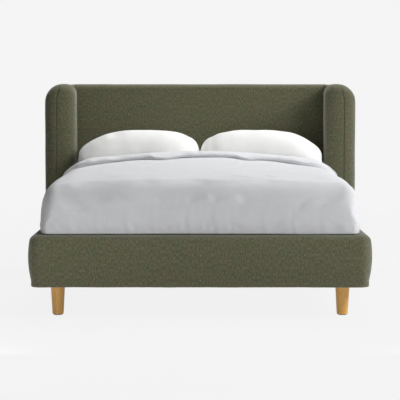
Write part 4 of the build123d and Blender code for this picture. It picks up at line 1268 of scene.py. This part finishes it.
def tweed_finish():
    """Olive tweed: woven threads with painted shade where they dip under each other, upright flecks and
    drifts of green and brown yarn.
    """
    f = Finish("olive_tweed", Roughness=0.92, Sheen_Weight=0.45, Sheen_Roughness=0.4)
    cloth, place = f.cloth(), f.where()
    parts = f.node("SeparateXYZ", {0: cloth}).outputs
    across, up = (f.times(parts[i], 1 / TWEED_PITCH) for i in (0, 1))
    warp, weft = (f.math("ABSOLUTE", f.math("SINE", f.times(way, math.pi))) for way in (across, up))
    crossings = f.plus(f.math("FLOOR", across), f.math("FLOOR", up))
    over = f.times(f.math("ABSOLUTE", f.math("MODULO", crossings, 2.0)), 0.6)
    weft = f.times(weft, f.math("SUBTRACT", 1.0, over))
    weave = f.math("MAXIMUM", f.times(warp, f.plus(over, 0.4)), weft)
    upright = f.drawn_out(cloth, (620.0, 62.0, 1.0), 3.0, 0.6)
    crosswise = f.drawn_out(cloth, (70.0, 640.0, 1.0), 3.0, 0.6)
    fleck = f.drawn_out(cloth, TWEED_FLECK, 2.5, 0.6)
    dots = f.drawn_out(cloth, (185.0, 165.0, 1.0), 1.5, 0.5, (0.0, 0.0, 0.4))
    drift = f.noise(place, 17.0, 3.0, 0.6)
    turned = f.node("Mapping", {"Vector": place, "Rotation": (0.5, 0.3, 0.9)}).outputs[0]
    other = f.noise(turned, 23.0, 3.0, 0.6)
    colour = f.shaded(
        TWEED_BASE,
        (drift, 0.44, 0.62, 0.0, 1.0, TWEED_GREEN),
        (other, 0.5, 0.66, 0.0, 1.0, TWEED_BROWN),
        (fleck, 0.5, 0.68, 0.0, 0.62, TWEED_PALE),
        (fleck, 0.36, 0.5, 0.5, 0.0, TWEED_DARK),
        (dots, 0.57, 0.7, 0.0, 0.55, TWEED_DARK),
        (upright, 0.56, 0.72, 0.0, 0.5, TWEED_PALE),
        (crosswise, 0.56, 0.74, 0.0, 0.5, TWEED_DARK),
    )
    # Painted shade: the colour darkens towards each thread's edges and where a thread runs under
    # another, as the weave's relief would shade it
    shade = f.between(weave, 0.1, 0.9, 0.7, 1.12)
    grey = f.node("CombineXYZ", {0: shade, 1: shade, 2: shade}).outputs[0]
    colour = f.mix(1.0, colour, grey, "MULTIPLY")
    slub = f.plus(weave, f.times(f.plus(upright, crosswise), 0.8))
    return f.set(Base_Color=colour, Normal=f.bump(slub, 0.9 * MM, 0.7))


def cotton_finish(name, colour, drift):
    """Smooth white cotton with a faint weave and soft unevenness."""
    f = Finish(name, Roughness=0.85, Sheen_Weight=0.12, Sheen_Roughness=0.5)
    place = f.where()
    thread_a = f.drawn_out(place, (1800.0, 160.0, 160.0))
    thread_b = f.drawn_out(place, (160.0, 1800.0, 1800.0))
    shade = f.shaded(
        colour,
        (f.noise(place, 14.0, 3.0), 0.3, 0.7, 0.0, 1.0, dimmed(colour, 1 - drift)),
        (thread_a, 0.35, 0.7, 0.0, 0.12, dimmed(colour, 0.8)),
    )
    wrinkle = f.noise(place, 26.0, 4.0, 0.55, 0.6)
    normal = f.bump(f.plus(thread_a, thread_b), 0.25 * MM, 0.5, f.bump(wrinkle, 3.0 * MM, 0.35))
    return f.set(Base_Color=shade, Normal=normal)


def wood_finish(name, pale, dark, along, ring=55.0):
    """Wood with its grain along one axis, pores and a satin lacquer."""
    f = Finish(name, Roughness=0.42, Coat_Weight=0.25, Coat_Roughness=0.3)
    place = f.where()
    flow, fine = [1.0] * 3, [900.0] * 3
    flow[along], fine[along] = 0.06, 22.0
    grain = f.node("Mapping", {"Vector": place, "Scale": flow}).outputs[0]
    figure = f.noise(grain, ring, 3.0, distortion=1.2)
    rings = f.math("SUBTRACT", f.math("FRACT", f.times(figure, 7.0)), 0.5)
    rings = f.between(f.math("ABSOLUTE", rings), 0.05, 0.5, 0.0, 1.0)
    pores = f.drawn_out(place, fine)
    colour = f.shaded(
        f.mix(f.times(rings, 0.55), pale, dark),
        (pores, 0.6, 0.78, 0.0, 0.5, dimmed(dark, 0.55)),
        (f.noise(place, 6.0), 0.3, 0.7, 0.0, 0.25, dimmed(pale, 0.85)),
    )
    rough = f.between(pores, 0.4, 0.8, 0.36, 0.6)
    return f.set(Base_Color=colour, Roughness=rough, Normal=f.bump(pores, 0.15 * MM, 0.6))


def metal_finish(name):
    """Zinc-plated steel with fine brushed and cloudy variation."""
    f = Finish(name, Metallic=1.0, Roughness=0.35)
    place = f.where()
    cloud = f.noise(place, 55.0, 4.0)
    brush = f.drawn_out(place, (90.0, 90.0, 1500.0))
    colour = f.shaded((0.55, 0.56, 0.58), (cloud, 0.35, 0.65, 0.0, 1.0, (0.68, 0.68, 0.66)))
    rough = f.between(f.plus(cloud, f.times(brush, 0.4)), 0.5, 0.9, 0.28, 0.5)
    return f.set(Base_Color=colour, Roughness=rough, Normal=f.bump(brush, 0.05 * MM, 0.5))


def plain_finish(name, light, dark, size, rough, relief):
    """Speckled or felted stuff of two near shades."""
    f = Finish(name, Roughness=rough)
    fine = f.noise(f.where(), size, 4.0, 0.65)
    colour = f.shaded(light, (fine, 0.35, 0.65, 0.0, 1.0, dark))
    return f.set(Base_Color=colour, Normal=f.bump(fine, relief, 0.7))


BLACK = (0.022, 0.022, 0.024)
PINE = ((0.66, 0.48, 0.27), (0.5, 0.32, 0.15))
tweed = tweed_finish()
pillow_cotton = cotton_finish("pillow_cotton", (0.935, 0.935, 0.92), 0.02)
duvet_cotton = cotton_finish("duvet_cotton", (0.775, 0.78, 0.80), 0.03)
sheet_cotton = cotton_finish("sheet_cotton", (0.84, 0.84, 0.84), 0.03)
ticking = plain_finish("mattress_ticking", (0.78, 0.76, 0.72), (0.68, 0.66, 0.62), 220.0, 0.9, 0.6 * MM)
black_cloth = plain_finish("black_cloth", BLACK, (0.035, 0.035, 0.038), 900.0, 0.95, 0.3 * MM)
webbing = plain_finish("white_webbing", (0.72, 0.71, 0.68), (0.6, 0.59, 0.56), 1300.0, 0.9, 0.4 * MM)
felt = plain_finish("grey_felt", (0.16, 0.16, 0.165), (0.23, 0.23, 0.235), 1500.0, 0.98, 0.6 * MM)
plastic = plain_finish("black_plastic", (0.02, 0.02, 0.02), (0.03, 0.03, 0.03), 1800.0, 0.5, 0.08 * MM)
steel = metal_finish("zinc_steel")
oak = wood_finish("leg_oak", (0.86, 0.46, 0.105), (0.64, 0.31, 0.062), 2)
pine_x = wood_finish("slat_pine", *PINE, 0, 30.0)
pine_y = wood_finish("ledge_pine", *PINE, 1, 30.0)
pine_z = wood_finish("post_pine", *PINE, 2, 30.0)
ply = wood_finish("panel_plywood", (0.62, 0.46, 0.28), (0.48, 0.33, 0.18), 0, 18.0)

CAD_FINISHES = (
    (oak, ("leg_front", "leg_rear")),
    (felt, ("leg_glides",)),
    (plastic, ("levelling_foot",)),
    (webbing, ("slat_tapes",)),
    (steel, ("leg_studs", "slat_screws", "beam_hangers", "wing_bolts")),
    (steel, ("rail_hook_plates", "post_slot_plates")),
    (ply, ("wing_inner_board", "wing_outer_board", "headboard_face_panel")),
    (pine_x, ("slats", "wing_base_board", "foot_rail_board")),
    (pine_x, ("headboard_top_rail", "headboard_bottom_rail")),
    (pine_y, ("slat_ledge", "centre_beam", "side_rail_board")),
    (pine_z, ("centre_leg", "wing_front_post", "wing_rear_post", "headboard_stiles", "corner_block")),
)


def finish_frame():
    """Gives every carried-over part its material."""
    for finish, starts in CAD_FINISHES:
        for name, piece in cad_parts.items():
            if name.startswith(starts):
                piece.data.materials.clear()
                piece.data.materials.append(finish)


# Floor, light and camera
BACKGROUND = (0.913, 0.913, 0.913)
AMBIENT = 0.012
FLOOR_RADII = (0.0, 1.0, 2.0, 4.0, 8.0, 16.0, 32.0, 60.0)
FLOOR_COLOUR = (0.86, 0.86, 0.86)
FLOOR_SHADOW_SHARE = 0.05
FLOOR_FADE = (2.5, 6.5)
LAMPS = (
    ("side_light", (8.63, -0.75, 5.6), 3.0, 418.0),
    ("key_light", (6.33, -4.11, 5.5), 3.4, 325.0),
    ("front_light_left", (-1.3, -2.8, 0.3), 0.9, 4.0),
    ("front_light_right", (1.4, -2.8, 0.3), 0.9, 1.5),
    ("low_light_left", (-0.95, -2.15, 0.18), 0.3, 1.7),
    ("low_light_right", (0.95, -2.15, 0.18), 0.3, 0.8),
    ("top_light", (0.0, 1.9, 4.5), 2.0, 116.0),
)
CAMERA_PLACE = (0.0, -8.569, 1.1127)
CAMERA_PITCH = math.radians(4.034)
CAMERA_LENS = 136.62
CAMERA_SHIFT = -0.000375


def make_world():
    """A pale surround to the eye, and a plain even light on the object."""
    world = bpy.data.worlds.new("studio")
    bpy.context.scene.world = world
    world.use_nodes = True
    n = Nodes(world.node_tree)
    n.tree.nodes.clear()
    shown = n.node("Background", {0: opaque(BACKGROUND)})
    light = n.node("Background", {0: (1.0, 1.0, 1.0, 1.0), 1: AMBIENT})
    n.node("OutputWorld", {0: n.mix_shaders(n.seen_directly(), light, shown)})


def make_floor():
    """A pale floor with a faint shadow near the bed, which fades into the background."""
    ways = np.linspace(0, 2 * math.pi, 97)
    radii = np.array(FLOOR_RADII)[:, None]
    points = joined(radii * np.cos(ways), radii * np.sin(ways), 0.0)
    shell = Shell()
    shell.grid(points, points[..., :2])
    floor = shell.build("floor")
    material = bpy.data.materials.new("pale_floor")
    material.use_nodes = True
    n = Nodes(material.node_tree)
    n.tree.nodes.clear()
    diffuse = n.node("BsdfDiffuse", {0: opaque(FLOOR_COLOUR)})
    plain = n.node("Emission", {0: opaque(BACKGROUND)})
    length = n.node("VectorMath", {0: n.where()}, operation="LENGTH").outputs["Value"]
    share = n.times(n.between(length, *FLOOR_FADE, 1 - FLOOR_SHADOW_SHARE, 1.0), n.seen_directly())
    n.node("OutputMaterial", {0: n.mix_shaders(share, diffuse, plain)})
    floor.data.materials.append(material)


def make_lamps():
    """Large soft lamps that all look at the bed."""
    aim = Vector((0.0, 0.0, 0.6))
    for name, place, size, power in LAMPS:
        data = bpy.data.lights.new(name, "AREA")
        data.shape = "SQUARE"
        data.size = size
        data.energy = power
        lamp = in_scene(name, data)
        lamp.location = place
        lamp.rotation_euler = (aim - Vector(place)).to_track_quat("-Z", "Y").to_euler()


def make_camera():
    """The photograph's straight view from the foot of the bed."""
    data = bpy.data.cameras.new("camera")
    data.lens = CAMERA_LENS
    data.sensor_width = 36.0
    data.shift_x = CAMERA_SHIFT
    camera = in_scene("camera", data)
    camera.location = CAMERA_PLACE
    camera.rotation_euler = (math.pi / 2 - CAMERA_PITCH, 0.0, 0.0)
    bpy.context.scene.camera = camera


make_camera()
make_world()
make_lamps()
make_floor()
finish_frame()
for side_name in (LEFT, RIGHT):
    make_wing(side_name)
    make_side_rail(side_name)
    make_pillow(side_name)
make_headboard()
make_back_cloth()
make_foot_rail()
make_mattress()
make_sheet()
make_duvet()

bpy.context.scene.view_settings.view_transform = "Standard"
